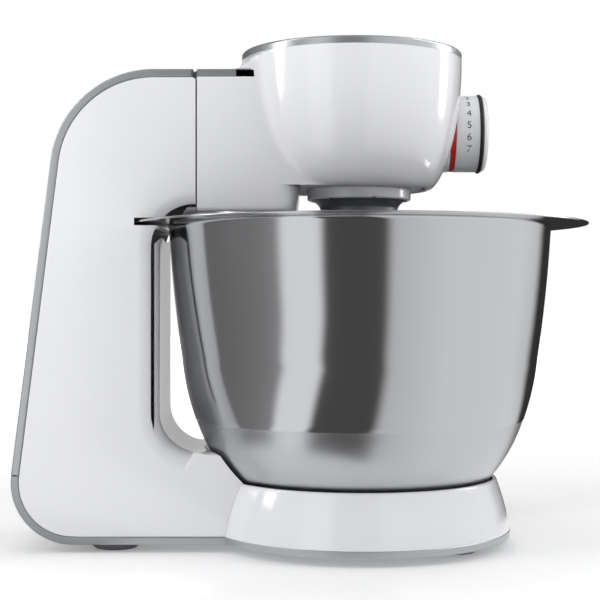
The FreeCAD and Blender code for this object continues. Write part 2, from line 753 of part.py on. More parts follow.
def ring_gear():
    """Fixed ring gear round the planet's path."""
    module, teeth = MODULE.number, int(RING_TEETH.number)
    pitch = module * teeth / 2
    space = toothed_face(teeth, pitch + 1.2 * module, pitch - 0.8 * module, 0.17, 0.36)
    hollow = space.extrude(FreeCAD.Vector(0, 0, size("gear_height").number + 2))
    hollow.translate(FreeCAD.Vector(0, 0, -1))
    outside = Part.makeCylinder(housing_inner().number, size("gear_height").number)
    return computed("ring_gear", outside.cut(hollow), (AXIS, 0, GEAR_LOW))


def housing_inner():
    return MODULE * RING_TEETH / 2 + 5.2


def gearbox_frame():
    """Cast frame: a plate over motor and gears, a cup for the ring gear and a boss for the bearings."""
    inner, boss = housing_inner(), size("main_shaft_radius") + 7
    disc = rod("frame_disc", inner + 6, size("plate_thick"), (*HUB_PLACE, PLATE_LOW))
    bridge = block("frame_bridge", (MOTOR_X - size("motor_radius"), -size("motor_radius") - 4, PLATE_LOW),
                   (AXIS, size("motor_radius") + 4, PLATE_HIGH))
    cup = ring("frame_cup", inner + 2.2, inner, PLATE_LOW - GEAR_LOW - 1.4, (*HUB_PLACE, GEAR_LOW + 1.4))
    post = rod("frame_boss", boss, 22, (*HUB_PLACE, PLATE_LOW - 21))
    bearing_bore = rod("bearing_bore", size("main_shaft_radius") + 4, 60, (*HUB_PLACE, PLATE_LOW - 40))
    shaft_hole = rod("motor_shaft_hole", size("motor_shaft_radius") + 2.5, 20, (MOTOR_X, 0, PLATE_LOW - 5))
    return cut("gearbox_frame", fuse("frame_whole", disc, bridge, cup, post), bearing_bore, shaft_hole)


def bearing(label, inner, outer, thick, at):
    """Sintered bush with a shallow shoulder on its upper edge."""
    chamfer = 0.5
    return turned(label, [(inner, 0), (outer, 0), (outer, thick - chamfer), (outer - chamfer, thick),
                          (inner, thick)], at)


def drive_bearings():
    inner = size("main_shaft_radius") + size("running_gap")
    outer = size("main_shaft_radius") + 4
    return [bearing("lower_shaft_bearing", inner, outer, 7, (*HUB_PLACE, PLATE_LOW - 20)),
            bearing("upper_shaft_bearing", inner, outer, 7, (*HUB_PLACE, PLATE_LOW - 5))]


def seal_ring():
    """Lip seal that keeps grease off the bowl."""
    inner = housing_inner() - 3.2
    return ring("seal_ring", housing_inner(), inner, 1.2, (*HUB_PLACE, HUB_TOP + 0.8))


def main_shaft():
    """Upright shaft with the flange that carries the planet carrier."""
    radius = size("main_shaft_radius")
    low = GEAR_LOW + size("gear_height") + 1.2
    return turned("main_shaft", [(0, low), (19, low), (19, low + 2.6), (radius + 1.6, low + 2.6),
                                 (radius + 1.6, low + 3.4), (radius, low + 3.4),
                                 (radius, PULLEY_LOW + 18), (0, PULLEY_LOW + 18)], (AXIS, 0, 0))


def carrier_hub():
    """Dark turning hub below the head, flared at its top, with two posts up to the shaft flange."""
    radius, flare = size("hub_radius"), size("hub_flare")
    body = turned("hub_body", [
        (0, size("hub_bottom")), (radius - 3, size("hub_bottom")),
        (radius, size("hub_bottom") + 3, 3.05, -1), (radius, size("collar_bottom") - 4.2),
        (flare, size("collar_bottom") + 0.2), (flare, HUB_TOP - 0.4), (0, HUB_TOP - 0.4)], (AXIS, 0, 0))
    high = GEAR_LOW + size("gear_height") + 1.2
    posts = [rod(f"carrier_post_{side}", 3.2, high - HUB_TOP + 2, (AXIS - 14, side * 9, HUB_TOP - 2))
             for side in (-1, 1)]
    bore = rod("spindle_bore", size("spindle_radius") + size("running_gap"), 60,
               (AXIS + OFFSET, 0, size("hub_bottom") - 10))
    return cut("carrier_hub", fuse("hub_whole", body, *posts), bore)


def tool_spindle():
    """Spindle with the socket that a whisk, beater or hook pushes up into."""
    radius, low = size("spindle_radius"), size("hub_bottom") - size("spindle_drop")
    body = turned("spindle_body", [
        (0, low), (radius - 0.8, low), (radius, low + 0.8), (radius, GEAR_LOW + size("gear_height")),
        (0, GEAR_LOW + size("gear_height"))], (AXIS + OFFSET, 0, 0))
    socket = rod("tool_socket_bore", size("socket_radius"), size("socket_depth"), (AXIS + OFFSET, 0, low))
    slot = block("tool_key_slot", (AXIS + OFFSET - 1.1, -radius - 1, low - 1),
                 (AXIS + OFFSET + 1.1, radius + 1, low + 3.2))
    return cut("tool_spindle", body, socket, slot)


def pulley_profile(label, radius, bore, at):
    """Belt pulley with two low flanges."""
    width = size("belt_width") + 2
    return turned(label, [(bore, 0), (radius + 1.2, 0), (radius + 1.2, 0.5), (radius, 0.9),
                          (radius, width - 0.9), (radius + 0.8, width - 0.5), (radius + 0.8, width),
                          (bore, width)], at)


def large_pulley():
    wheel = pulley_profile("large_pulley_rim", size("pulley_radius"), size("main_shaft_radius"),
                           (*HUB_PLACE, PULLEY_LOW))
    holes = [rod(f"pulley_hole_{number}", size("pulley_radius") * 0.22, 30,
                 (AXIS + size("pulley_radius") * (0.58 * math.cos(number * math.pi / 3)),
                  size("pulley_radius") * (0.58 * math.sin(number * math.pi / 3)), PULLEY_LOW - 5))
             for number in range(6)]
    return cut("large_pulley", wheel, *holes)


def drive_belt():
    """Belt round both pulleys, a loop with two straight runs."""
    clear = 0.25
    distance = AXIS.number - MOTOR_X.number

    def hull(extra):
        small = size("small_pulley_radius").number + clear + extra
        large = size("pulley_radius").number + clear + extra
        lean = math.asin((large - small) / distance)
        lift, slide = math.cos(lean), math.sin(lean)
        corners = [FreeCAD.Vector(x - radius * slide, side * radius * lift, 0)
                   for x, radius, side in ((0, small, 1), (distance, large, 1), (distance, large, -1),
                                           (0, small, -1))]
        height = size("belt_width").number
        prism = Part.Face(Part.makePolygon(corners + [corners[0]])).extrude(FreeCAD.Vector(0, 0, height))
        ends = [Part.makeCylinder(small, height), Part.makeCylinder(large, height, FreeCAD.Vector(distance, 0, 0))]
        return prism.fuse(ends)

    loop = hull(size("belt_thick").number).cut(hull(0))
    return computed("drive_belt", loop, (MOTOR_X, 0, PULLEY_LOW + 1))


def blender_coupling():
    """Dog on the top of the main shaft for a jug or mill."""
    low = PULLEY_LOW + 15
    radius = size("main_shaft_radius") + 4.5
    cup = turned("dog_body", [(size("main_shaft_radius"), low), (radius, low), (radius, low + 11),
                              (radius - 2.2, low + 11), (radius - 2.2, low + 5), (size("main_shaft_radius"),
                                                                                 low + 5)], (AXIS, 0, 0))
    notches = [block("dog_notch_along", (AXIS - 2, -20, low + 7.5), (AXIS + 2, 20, low + 15)),
               block("dog_notch_across", (AXIS - 20, -2, low + 7.5), (AXIS + 20, 2, low + 15))]
    return cut("blender_coupling", cup, *notches)


def motor():
    """Upright motor in the neck: can, magnets, bearings, armature, shaft, fan and small pulley."""
    radius, shaft = size("motor_radius"), size("motor_shaft_radius")
    low = PLATE_LOW - size("motor_length") - 0.4
    at = (MOTOR_X, 0, low)
    bush = shaft + size("running_gap")
    length = size("motor_length")
    can = turned("motor_can", [(shaft + 3, 0), (radius - 1.5, 0), (radius, 1.5, 1.6, -1), (radius, length),
                               (shaft + 3, length), (shaft + 3, length - 1.6), (radius - 1.6, length - 1.6),
                               (radius - 1.6, 1.6), (shaft + 3, 1.6)], at)
    magnet_ring = ring("magnet_ring", radius - 1.8, radius - 6, length - 18, (MOTOR_X, 0, low + 12))
    gap = block("magnet_gap", (MOTOR_X - 4, -60, low), (MOTOR_X + 4, 60, low + 100))
    magnets = cut("motor_magnets", magnet_ring, gap)
    bushes = [bearing("lower_motor_bearing", bush, shaft + 3, 4, (MOTOR_X, 0, low)),
              bearing("upper_motor_bearing", bush, shaft + 3, 4, (MOTOR_X, 0, low + length - 4))]
    armature = turned("armature", [(shaft, 14), (radius - 7, 14), (radius - 6.5, 14.5),
                                   (radius - 6.5, length - 8.5), (radius - 7, length - 8), (shaft, length - 8)],
                      at)
    rotor_shaft = rod("motor_shaft", shaft, length + size("plate_thick") + 14, at)
    hub = ring("fan_hub", shaft + 3.5, shaft, 5, (MOTOR_X, 0, low + 5))
    blades = [block(f"fan_blade_{number}", (0, -0.6, 0), (radius - 11, 0.6, 5)) for number in range(8)]
    for number, blade in enumerate(blades):
        turn = FreeCAD.Rotation(FreeCAD.Vector(0, 0, 1), number * 45)
        along = turn.multVec(FreeCAD.Vector(shaft.number + 3, 0, 0))
        for letter, centre, reach in zip("xyz", (MOTOR_X, Size.of(0), low + 5), along):
            blade.setExpression(f"Placement.Base.{letter}", (centre + reach).text)
        blade.Placement = FreeCAD.Placement(along + FreeCAD.Vector(MOTOR_X.number, 0, low.number + 5), turn)
    fan = fuse("cooling_fan", hub, *blades)
    pulley = pulley_profile("small_pulley", size("small_pulley_radius"), shaft, (MOTOR_X, 0, PULLEY_LOW))
    return [can, magnets, *bushes], [armature, rotor_shaft, fan, pulley]


def control_board():
    """Speed control board with its heat sink and capacitor, over the motor."""
    level = PULLEY_LOW + 11.5
    board = block("board_plate", (ARM_REAR + 8, -26, level), (ARM_REAR + 42, 26, level + 1.6))
    sink = block("board_heat_sink", (ARM_REAR + 12, -20, level - 2.2), (ARM_REAR + 20, -4, level))
    return fuse("control_board", board, sink)


# ---------------------------------------------------------------- lid, knob, button and small parts

def drive_cover():
    """Round lid over the upper drive."""
    high = size("head_top") - 0.3
    deck = size("head_top") - 1.2
    return turned("drive_cover", [
        (0, deck - 2.4), (21.5, deck - 2.4), (21.5, deck - 4.4), (24, deck - 4.4), (24, deck + 0.1), (26, deck + 0.1),
        (26, high - 0.3), (25.7, high), (9, high), (7, high - 0.9), (0, high - 0.9)], (AXIS, 0, 0))


def speed_knob():
    """White dial with a rubber grip ring, a red ring at its root and its spindle."""
    at = (size("knob_root"), size("knob_side"), size("knob_level"))
    radius, length, width = size("knob_radius"), size("knob_length"), size("knob_ring_width")
    shaft = size("knob_shaft_radius")
    groove_low, groove_high = length - 5.6, length - 3.1
    body = turned("knob_body", [
        (shaft, width + 0.3), (shaft + 2.4, width + 0.3), (shaft + 2.4, length - 2.6), (radius - 2.6, length - 2.6),
        (radius - 2.6, width + 0.3), (radius, width + 0.3), (radius, groove_low), (radius - 1, groove_low),
        (radius - 1, groove_high), (radius, groove_high), (radius - 2.6, length, 3, -1), (0, length),
        (0, length - 1.6), (shaft, length - 1.6)], at, "+x")
    grip = ring("knob_grip_ring", radius + 0.9, radius - 1, groove_high - groove_low,
                (at[0] + groove_low, at[1], at[2]), "+x")
    red = ring("knob_red_band", radius - 0.15, radius - 2.6, width, (at[0] + 0.3, at[1], at[2]), "+x")
    spokes = ring("knob_ring_web", radius - 2.6, shaft, 1.4, (at[0] + 0.3, at[1], at[2]), "+x")
    inside = size("knob_root") - (AXIS + 37.4)
    spindle = rod("knob_spindle", shaft, length - 1.7 + inside, (at[0] - inside, at[1], at[2]), "+x")
    return [body, grip, fuse("knob_red_ring", red, spokes), spindle]


def speed_switch():
    """Rotary switch behind the knob."""
    side, level = size("knob_side"), size("knob_level")
    case = block("switch_case", (AXIS + 27.4, side - 8, level - 8), (AXIS + 37, side + 7, level + 0.9))
    nose = rod("switch_nose", 4, 2, (AXIS + 30, side, level - 3.2), "+x")
    return fuse("speed_switch", case, nose)


def release_button():
    """Button in the side wall, with its plunger, guide bracket and return spring."""
    x, level, radius = size("button_place"), size("button_level"), size("button_radius")
    face = HALF_WIDTH + size("button_proud")
    back = HALF_WIDTH - 6
    cap = turned("button_cap", [(0, 0), (radius, 0), (radius, face - back - 1.2),
                                (radius - 1.2, face - back, 1.25, -1), (0, face - back)], (x, back, level), "+y")
    plunger = rod("button_plunger", 3, 26, (x, back - 26, level), "+y")
    plate = block("bracket_plate", (x - 11, back - 19, level - 14), (x + 14, back - 16, level + 14))
    hole = rod("bracket_hole", 3.1, 20, (x, back - 30, level), "+y")
    bracket = cut("button_bracket", plate, hole)
    helix = Part.makeHelix(3.0, 14.6, 5.0)
    start = Part.Wire(Part.makeCircle(0.5, FreeCAD.Vector(5, 0, 0), FreeCAD.Vector(0, 1, 0.1)))
    coil = Part.Wire(helix).makePipeShell([start], True, True)
    spring = computed("button_spring", coil, (x, back - 15.3, level), "+y")
    return [cap, plunger], [bracket, spring]


def cord_gland():
    """Moulded gland where the mains lead enters the housing."""
    radius = size("gland_radius")
    return turned("cord_gland", [(3.2, 0), (radius + 2, 0), (radius + 2, 2), (radius, 2), (radius, 5.2),
                                 (radius + 1.4, 5.2), (radius + 1.4, 7.4), (radius - 0.8, 9.4), (3.2, 9.4)],
                  (size("gland_place"), HALF_WIDTH - WALL - 2.2, size("gland_level")), "+y")


def support_frame():
    """Steel channel inside the column that carries the hinge's load to the base."""
    front = AXIS - size("bowl_flange") - size("rim_clearance") - 4
    low, high = TRAY_TOP + 4, PIN[1] - 22
    outer = block("channel_outer", (front - 14, -28, low), (front, 28, high))
    inner = block("channel_inner", (front - 15, -26.4, low - 1), (front - 1.6, 26.4, high + 1))
    windows = [block(f"channel_window_{level}", (front - 4, -14, level), (front + 2, 14, level + 38))
               for level in (60, 120, 180)]
    return cut("support_frame", outer, inner, *windows)


def mains_board():
    """Filter board low in the column, beside the cable entry."""
    x = size("gland_place") - 6
    board = block("mains_plate", (x, -34, 44), (x + 1.6, 6, 104))
    coil = rod("mains_choke", 7, 9, (x + 1.6, -5, 80), "+x")
    capacitor = block("mains_capacitor", (x + 1.6, -30, 50), (x + 11, -16, 68))
    return fuse("mains_board", board, coil, capacitor)


SUB_PARTS = [
    *column_shells(), rim_pocket(), back_band(), bottom_tray(), base_screws(), *feet(), bowl_dish(), bayonet_socket(),
    bowl_shell(), bowl_foot(), arm_shell(), knob_boss(), head_trim_ring(), head_deck(), arm_deck_trim(),
    arm_under_cover(), drive_collar(), *hinge(), planet_pinion(), ring_gear(), gearbox_frame(),
    *drive_bearings(), seal_ring(), main_shaft(), carrier_hub(), tool_spindle(), large_pulley(), drive_belt(),
    blender_coupling(), *[piece for half in motor() for piece in half], control_board(), drive_cover(),
    *speed_knob(), speed_switch(), *[piece for half in release_button() for piece in half], cord_gland(),
    support_frame(), mains_board(),
]


def write_parts():
    """Recomputes, checks every object and writes one file for each sub-part."""
    doc.recompute()
    failed = [thing.Label for thing in doc.Objects if {"Invalid", "Error"} & set(thing.State)]
    broken = [part.Label for part in SUB_PARTS if part.Shape.isNull() or not part.Shape.isValid()]
    if failed or broken:
        raise SystemExit(f"failed objects {failed}, broken shapes {broken}")
    os.makedirs("parts", exist_ok=True)
    for part in SUB_PARTS:
        part.Shape.exportStep(f"parts/{part.Label}.step")
    print(f"{len(SUB_PARTS)} sub-parts written")


write_parts()
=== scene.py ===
"""Looks of the stand mixer: refined shells, finishes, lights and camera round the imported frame."""
import logging
import math
from dataclasses import dataclass, field
from enum import Enum

import bmesh
import bpy
from mathutils import Matrix, Vector


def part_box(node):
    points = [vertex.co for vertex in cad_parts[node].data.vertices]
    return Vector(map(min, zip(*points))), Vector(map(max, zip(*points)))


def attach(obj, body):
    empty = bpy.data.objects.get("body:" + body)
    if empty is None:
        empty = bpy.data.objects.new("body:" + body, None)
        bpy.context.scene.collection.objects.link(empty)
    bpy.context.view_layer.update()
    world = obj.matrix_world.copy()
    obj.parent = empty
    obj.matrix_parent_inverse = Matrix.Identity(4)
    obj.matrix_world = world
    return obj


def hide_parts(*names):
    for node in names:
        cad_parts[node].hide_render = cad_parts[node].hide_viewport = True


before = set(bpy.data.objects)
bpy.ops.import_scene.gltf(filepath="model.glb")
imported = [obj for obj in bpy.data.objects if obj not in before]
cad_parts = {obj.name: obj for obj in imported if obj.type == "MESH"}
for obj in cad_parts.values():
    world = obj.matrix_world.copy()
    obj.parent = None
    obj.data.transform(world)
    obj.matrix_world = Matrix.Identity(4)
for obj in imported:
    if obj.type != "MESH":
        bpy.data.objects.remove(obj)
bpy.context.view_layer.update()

LOG = logging.getLogger("mixer")
MM = 0.001
FULL_TURN = 2 * math.pi


class Body(Enum):
    """The rigid bodies that pieces ride on."""

    STAND = "stand"
    ARM = "arm"
    CARRIER = "planet_carrier"
    SPINDLE = "spindle"
    ROTOR = "motor_rotor"
    KNOB = "speed_knob"
    BUTTON = "release_button"
    BOWL = "bowl"
    LID = "lid"


# ---------------------------------------------------------------- colour and nodes

def linear(code: str) -> tuple[float, float, float, float]:
    """Turns an sRGB hex colour into linear values.

    Args:
        code: six hex digits after a hash.

    Returns:
        Red, green, blue and alpha, linear.
    """
    parts = [int(code[start:start + 2], 16) / 255 for start in (1, 3, 5)]
    red, green, blue = (part / 12.92 if part <= 0.04045 else ((part + 0.055) / 1.055) ** 2.4 for part in parts)
    return red, green, blue, 1.0


def add_node(tree: bpy.types.NodeTree, kind: str, settings: dict | None = None,
             inputs: dict | None = None) -> bpy.types.Node:
    """Adds one shader node.

    Args:
        tree: the material's node tree.
        kind: the node's class name.
        settings: attributes to set on the node.
        inputs: socket name or number to a value, or to a (node, output) pair to link from.

    Returns:
        The new node.
    """
    node = tree.nodes.new(kind)
    for name, value in (settings or {}).items():
        setattr(node, name, value)
    for socket, value in (inputs or {}).items():
        if isinstance(value, tuple) and len(value) == 2 and isinstance(value[0], bpy.types.Node):
            tree.links.new(value[0].outputs[value[1]], node.inputs[socket])
        else:
            node.inputs[socket].default_value = value
    return node


@dataclass(frozen=True)
class Finish:
    """A surface: its colour, its gloss and a fine relief from how it was made."""

    name: str
    colour: str
    roughness: float
    metallic: float = 0.0
    ior: float = 1.5
    coat: float = 0.0
    coat_roughness: float = 0.05
    grain_mm: float = 0.8
    relief: float = 0.02
    uneven: float = 0.04
    tint: str | None = None
    stretch: tuple[float, float, float] = (1.0, 1.0, 1.0)

    def build(self) -> bpy.types.Material:
        """Makes the material, or returns it if it was made before."""
        known = bpy.data.materials.get(self.name)
        if known:
            return known
        material = bpy.data.materials.new(self.name)
        material.use_nodes = True
        tree = material.node_tree
        shader = tree.nodes["Principled BSDF"]
        shader.inputs["Base Color"].default_value = linear(self.colour)
        shader.inputs["Roughness"].default_value = self.roughness
        shader.inputs["Metallic"].default_value = self.metallic
        if self.metallic < 0.5:
            shader.inputs["IOR"].default_value = self.ior
        shader.inputs["Coat Weight"].default_value = self.coat
        shader.inputs["Coat Roughness"].default_value = self.coat_roughness
        self.dress(tree, shader)
        return material

    def coordinates(self, tree: bpy.types.NodeTree) -> bpy.types.Node:
        """A mapping of Object coordinates with one unit to each grain.

        Args:
            tree: the material's node tree.

        Returns:
            The Mapping node.
        """
        source = add_node(tree, "ShaderNodeTexCoord")
        scale = 1 / (self.grain_mm * MM)
        return add_node(tree, "ShaderNodeMapping", inputs={
            "Vector": (source, "Object"), "Scale": tuple(scale * part for part in self.stretch)})

    def dress(self, tree: bpy.types.NodeTree, shader: bpy.types.Node) -> None:
        """Adds grain to roughness and relief, and a slow drift of colour.

        Args:
            tree: the material's node tree.
            shader: its Principled node.
        """
        place = self.coordinates(tree)
        grain = add_node(tree, "ShaderNodeTexNoise", inputs={
            "Vector": (place, "Vector"), "Scale": 1.0, "Detail": 3.0, "Roughness": 0.55})
        spread = add_node(tree, "ShaderNodeMapRange", inputs={
            "Value": (grain, "Fac"), "From Min": 0.3, "From Max": 0.7,
            "To Min": max(self.roughness - self.uneven, 0.02), "To Max": self.roughness + self.uneven})
        tree.links.new(spread.outputs["Result"], shader.inputs["Roughness"])
        bump = add_node(tree, "ShaderNodeBump", inputs={
            "Height": (grain, "Fac"), "Strength": self.relief, "Distance": self.grain_mm * MM * 0.25})
        tree.links.new(bump.outputs["Normal"], shader.inputs["Normal"])
        if self.tint:
            drift = add_node(tree, "ShaderNodeTexNoise", inputs={
                "Vector": (place, "Vector"), "Scale": 0.03, "Detail": 2.0})
            mix = add_node(tree, "ShaderNodeMix", {"data_type": "RGBA"}, {
                "Factor": (drift, "Fac"), 6: linear(self.colour), 7: linear(self.tint)})
            tree.links.new(mix.outputs[2], shader.inputs["Base Color"])


@dataclass(frozen=True)
class SpunSteel(Finish):
    """Deep-drawn steel, polished above the step and finely turned below it."""

    step_level: float = 0.0706
    low_roughness: float = 0.3

    def dress(self, tree: bpy.types.NodeTree, shader: bpy.types.Node) -> None:
        """Turning lines run round the bowl, so the pattern changes fast with height only."""
        source = add_node(tree, "ShaderNodeTexCoord")
        lines_per_metre = 1 / (self.grain_mm * MM)
        place = add_node(tree, "ShaderNodeMapping", inputs={
            "Vector": (source, "Object"), "Scale": (9.0, 9.0, lines_per_metre)})
        lines = add_node(tree, "ShaderNodeTexNoise", inputs={
            "Vector": (place, "Vector"), "Scale": 1.0, "Detail": 4.0, "Roughness": 0.6})
        height = add_node(tree, "ShaderNodeSeparateXYZ", inputs={"Vector": (source, "Object")})
        below = add_node(tree, "ShaderNodeMapRange", inputs={
            "Value": (height, "Z"), "From Min": self.step_level + 0.0004, "From Max": self.step_level - 0.0004,
            "To Min": 0.0, "To Max": 1.0})
        base = add_node(tree, "ShaderNodeMapRange", inputs={
            "Value": (below, "Result"), "To Min": self.roughness, "To Max": self.low_roughness})
        streak = add_node(tree, "ShaderNodeMath", {"operation": "MULTIPLY_ADD"}, {
            0: (lines, "Fac"), 1: self.uneven, 2: (base, "Result")})
        tree.links.new(streak.outputs[0], shader.inputs["Roughness"])
        depth = add_node(tree, "ShaderNodeMapRange", inputs={
            "Value": (below, "Result"), "To Min": self.relief, "To Max": self.relief * 5})
        bump = add_node(tree, "ShaderNodeBump", inputs={
            "Height": (lines, "Fac"), "Strength": (depth, "Result"), "Distance": 0.00005})
        tree.links.new(bump.outputs["Normal"], shader.inputs["Normal"])


@dataclass(frozen=True)
class PrintedBoard(Finish):
    """Circuit board: green solder mask with copper tracks under it."""

    def dress(self, tree: bpy.types.NodeTree, shader: bpy.types.Node) -> None:
        """Tracks about 1.5 mm apart show as paler lines."""
        place = self.coordinates(tree)
        tracks = add_node(tree, "ShaderNodeTexBrick", {"offset": 0.5}, {
            "Vector": (place, "Vector"), "Scale": 0.6, "Mortar Size": 0.06,
            "Color1": linear(self.colour), "Color2": linear("#15633a"), "Mortar": linear("#5d8f4f")})
        tree.links.new(tracks.outputs["Color"], shader.inputs["Base Color"])
        bump = add_node(tree, "ShaderNodeBump", inputs={
            "Height": (tracks, "Fac"), "Strength": 0.2, "Distance": 0.0001})
        tree.links.new(bump.outputs["Normal"], shader.inputs["Normal"])


# Polished ABS: a white shell with a clear, deep gloss and the faint orange peel of the mould.
WHITE_GLOSS = Finish("polished_white_abs", "#f1f1f3", 0.13, coat=0.5, coat_roughness=0.04, grain_mm=7.0,
                     relief=0.012, uneven=0.015, tint="#eff0f2")
# The same plastic as moulded on hidden faces: spark-eroded, dull.
WHITE_MATT = Finish("spark_eroded_white_abs", "#e4e5e7", 0.5, grain_mm=0.5, relief=0.15, uneven=0.06)
# Silver paint over plastic: fine flake gives a soft broad shine.
SATIN_SILVER = Finish("satin_silver_paint", "#b9bcbf", 0.3, metallic=0.75, grain_mm=0.3, relief=0.05, uneven=0.05)
TRAY_SILVER = Finish("satin_grey_paint", "#b2b5b8", 0.36, metallic=0.6, grain_mm=0.3, relief=0.06, uneven=0.05)
# Drawn stainless steel: a mirror that is blurred only a little, in rings.
BOWL_STEEL = SpunSteel("polished_drawn_steel", "#c3c4c6", 0.09, metallic=1.0, grain_mm=0.35, relief=0.03,
                       uneven=0.07, low_roughness=0.26)
DARK_HUB = Finish("satin_grey_hub", "#6c6e71", 0.32, metallic=0.35, grain_mm=0.4, relief=0.05, uneven=0.05)
RUBBER_GREY = Finish("moulded_grey_rubber", "#5c5d5f", 0.62, grain_mm=0.6, relief=0.2, uneven=0.08)
RUBBER_BLACK = Finish("moulded_black_rubber", "#1d1d1e", 0.55, grain_mm=0.5, relief=0.2, uneven=0.08)
RED_PLASTIC = Finish("smooth_red_abs", "#d3281e", 0.25, grain_mm=0.8, relief=0.02, uneven=0.03)
# Pale moulded plastic of the dial: even and slightly silky.
DIAL_WHITE = Finish("silky_white_plastic", "#e6e7e9", 0.33, grain_mm=0.5, relief=0.04, uneven=0.04)
DIAL_INK = Finish("printed_black_ink", "#262627", 0.45, grain_mm=0.15, relief=0.05, uneven=0.05)
GREY_PLASTIC = Finish("fine_moulded_grey_abs", "#a9abad", 0.42, grain_mm=0.4, relief=0.1, uneven=0.05)
BLACK_PLASTIC = Finish("moulded_black_nylon", "#1b1b1c", 0.42, grain_mm=0.4, relief=0.1, uneven=0.06)
ZINC = Finish("zinc_plated_steel", "#b0b3b8", 0.33, metallic=1.0, grain_mm=0.6, relief=0.05, uneven=0.1,
              tint="#a6a9a2")
SPRING_STEEL = Finish("drawn_spring_wire", "#8e9093", 0.3, metallic=1.0, grain_mm=0.3, relief=0.05, uneven=0.08)
BRONZE = Finish("sintered_bronze", "#a87a48", 0.45, metallic=1.0, grain_mm=0.3, relief=0.2, uneven=0.1,
                tint="#8d6338")
CAST_METAL = Finish("die_cast_alloy", "#9b9da0", 0.48, metallic=1.0, grain_mm=0.9, relief=0.2, uneven=0.08)
ACETAL = Finish("natural_acetal", "#dcd6c4", 0.38, grain_mm=0.6, relief=0.04, uneven=0.04)
FERRITE = Finish("sintered_ferrite", "#2b2b2e", 0.7, grain_mm=0.4, relief=0.25, uneven=0.08)
COPPER = Finish("lacquered_copper_winding", "#9c5a32", 0.35, metallic=1.0, grain_mm=0.5, relief=0.4,
                uneven=0.1, stretch=(0.1, 0.1, 1.0))
BOARD = PrintedBoard("green_circuit_board", "#1d7a48", 0.35, grain_mm=1.5)
FLOOR = Finish("pale_floor", "#f6f6f6", 0.6, grain_mm=30.0, relief=0.01, uneven=0.03)


# ---------------------------------------------------------------- meshes

class Outline:
    """A flat line of points in millimetres, built from straight runs and arcs."""

    def __init__(self, across: float, up: float) -> None:
        """Starts at a point."""
        self.points: list[tuple[float, float]] = [(across, up)]

    def line(self, across: float, up: float) -> "Outline":
        """Adds a straight run to a point."""
        self.points.append((across, up))
        return self

    def arc(self, across: float, up: float, radius: float, side: int, steps: int = 10) -> "Outline":
        """Adds an arc to a point.

        Args:
            across: where it ends.
            up: where it ends.
            radius: its radius.
            side: 1 where it bulges to the left of its travel, -1 to the right.
            steps: how many short runs stand for it.

        Returns:
            This outline.
        """
        start, end = Vector(self.points[-1]), Vector((across, up))
        chord = end - start
        half = chord.length / 2
        left = Vector((-chord.y, chord.x)).normalized()
        drop = math.sqrt(max(radius ** 2 - half ** 2, 0.0))
        centre = (start + end) / 2 - left * side * drop
        first, last = start - centre, end - centre
        sweep = first.angle_signed(last)
        for step in range(1, steps + 1):
            turn = -sweep * step / steps
            self.points.append(tuple(centre + Matrix.Rotation(turn, 2) @ first))
        return self


def finished(name: str, bm: bmesh.types.BMesh, sharp: float = 32.0) -> bpy.types.Object:
    """Turns a bmesh into an object at the origin with smooth faces and crisp edges.

    Args:
        name: the piece's name.
        bm: its mesh, in metres.
        sharp: edges that turn by more than this many degrees stay crisp.

    Returns:
        The new object.
    """
    mesh = bpy.data.meshes.new(name)
    bm.to_mesh(mesh)
    bm.free()
    mesh.shade_smooth()
    mesh.set_sharp_from_angle(angle=math.radians(sharp))
    piece = bpy.data.objects.new(name, mesh)
    bpy.context.scene.collection.objects.link(piece)
    return piece


def closed_up(bm: bmesh.types.BMesh) -> None:
    """Merges doubled points, drops empty faces and turns every face outwards."""
    bmesh.ops.remove_doubles(bm, verts=bm.verts[:], dist=1e-6)
    bmesh.ops.dissolve_degenerate(bm, edges=bm.edges[:], dist=1e-7)
    bmesh.ops.recalc_face_normals(bm, faces=bm.faces[:])


def spun(name: str, outline: Outline, centre: Vector, towards: Vector = Vector((0, 0, 1)),
         segments: int = 128, squeeze: float = 1.0) -> bpy.types.Object:
    """A turned piece.

    Args:
        name: the piece's name.
        outline: its half section in millimetres, radius then height; the first and last points are joined.
        centre: the point on the axis where height is zero, in metres.
        towards: the axis.
        segments: steps round the axis.
        squeeze: the oval's width over its length, across Y.

    Returns:
        The piece.
    """
    bm = bmesh.new()
    points = [bm.verts.new((radius * MM, 0, level * MM)) for radius, level in outline.points]
    edges = [bm.edges.new((first, second)) for first, second in zip(points, points[1:])
             if (first.co - second.co).length > 1e-7]
    if outline.points[0][0] > 1e-6 or outline.points[-1][0] > 1e-6:
        edges.append(bm.edges.new((points[-1], points[0])))
    bmesh.ops.spin(bm, geom=points + edges, cent=(0, 0, 0), axis=(0, 0, 1), angle=FULL_TURN, steps=segments,
                   use_merge=True, use_duplicate=False)
    closed_up(bm)
    bmesh.ops.scale(bm, vec=(1, squeeze, 1), verts=bm.verts[:])
    turn = Vector((0, 0, 1)).rotation_difference(towards).to_matrix().to_4x4()
    bmesh.ops.transform(bm, matrix=Matrix.Translation(centre) @ turn, verts=bm.verts[:])
    return finished(name, bm)


def carve(piece: bpy.types.Object, *cutters: bpy.types.Object) -> bpy.types.Object:
    """Takes the cutters away from a piece and deletes them.

    Args:
        piece: what is cut.
        cutters: closed pieces that aren't kept.

    Returns:
        The piece.
    """
    for cutter in cutters:
        step = piece.modifiers.new("cut", "BOOLEAN")
        step.object = cutter
        step.operation = "DIFFERENCE"
        step.solver = "EXACT"
    graph = bpy.context.evaluated_depsgraph_get()
    mesh = bpy.data.meshes.new_from_object(piece.evaluated_get(graph))
    piece.modifiers.clear()
    piece.data = mesh
    mesh.shade_smooth()
    mesh.set_sharp_from_angle(angle=math.radians(32))
    for cutter in cutters:
        bpy.data.objects.remove(cutter)
    return piece


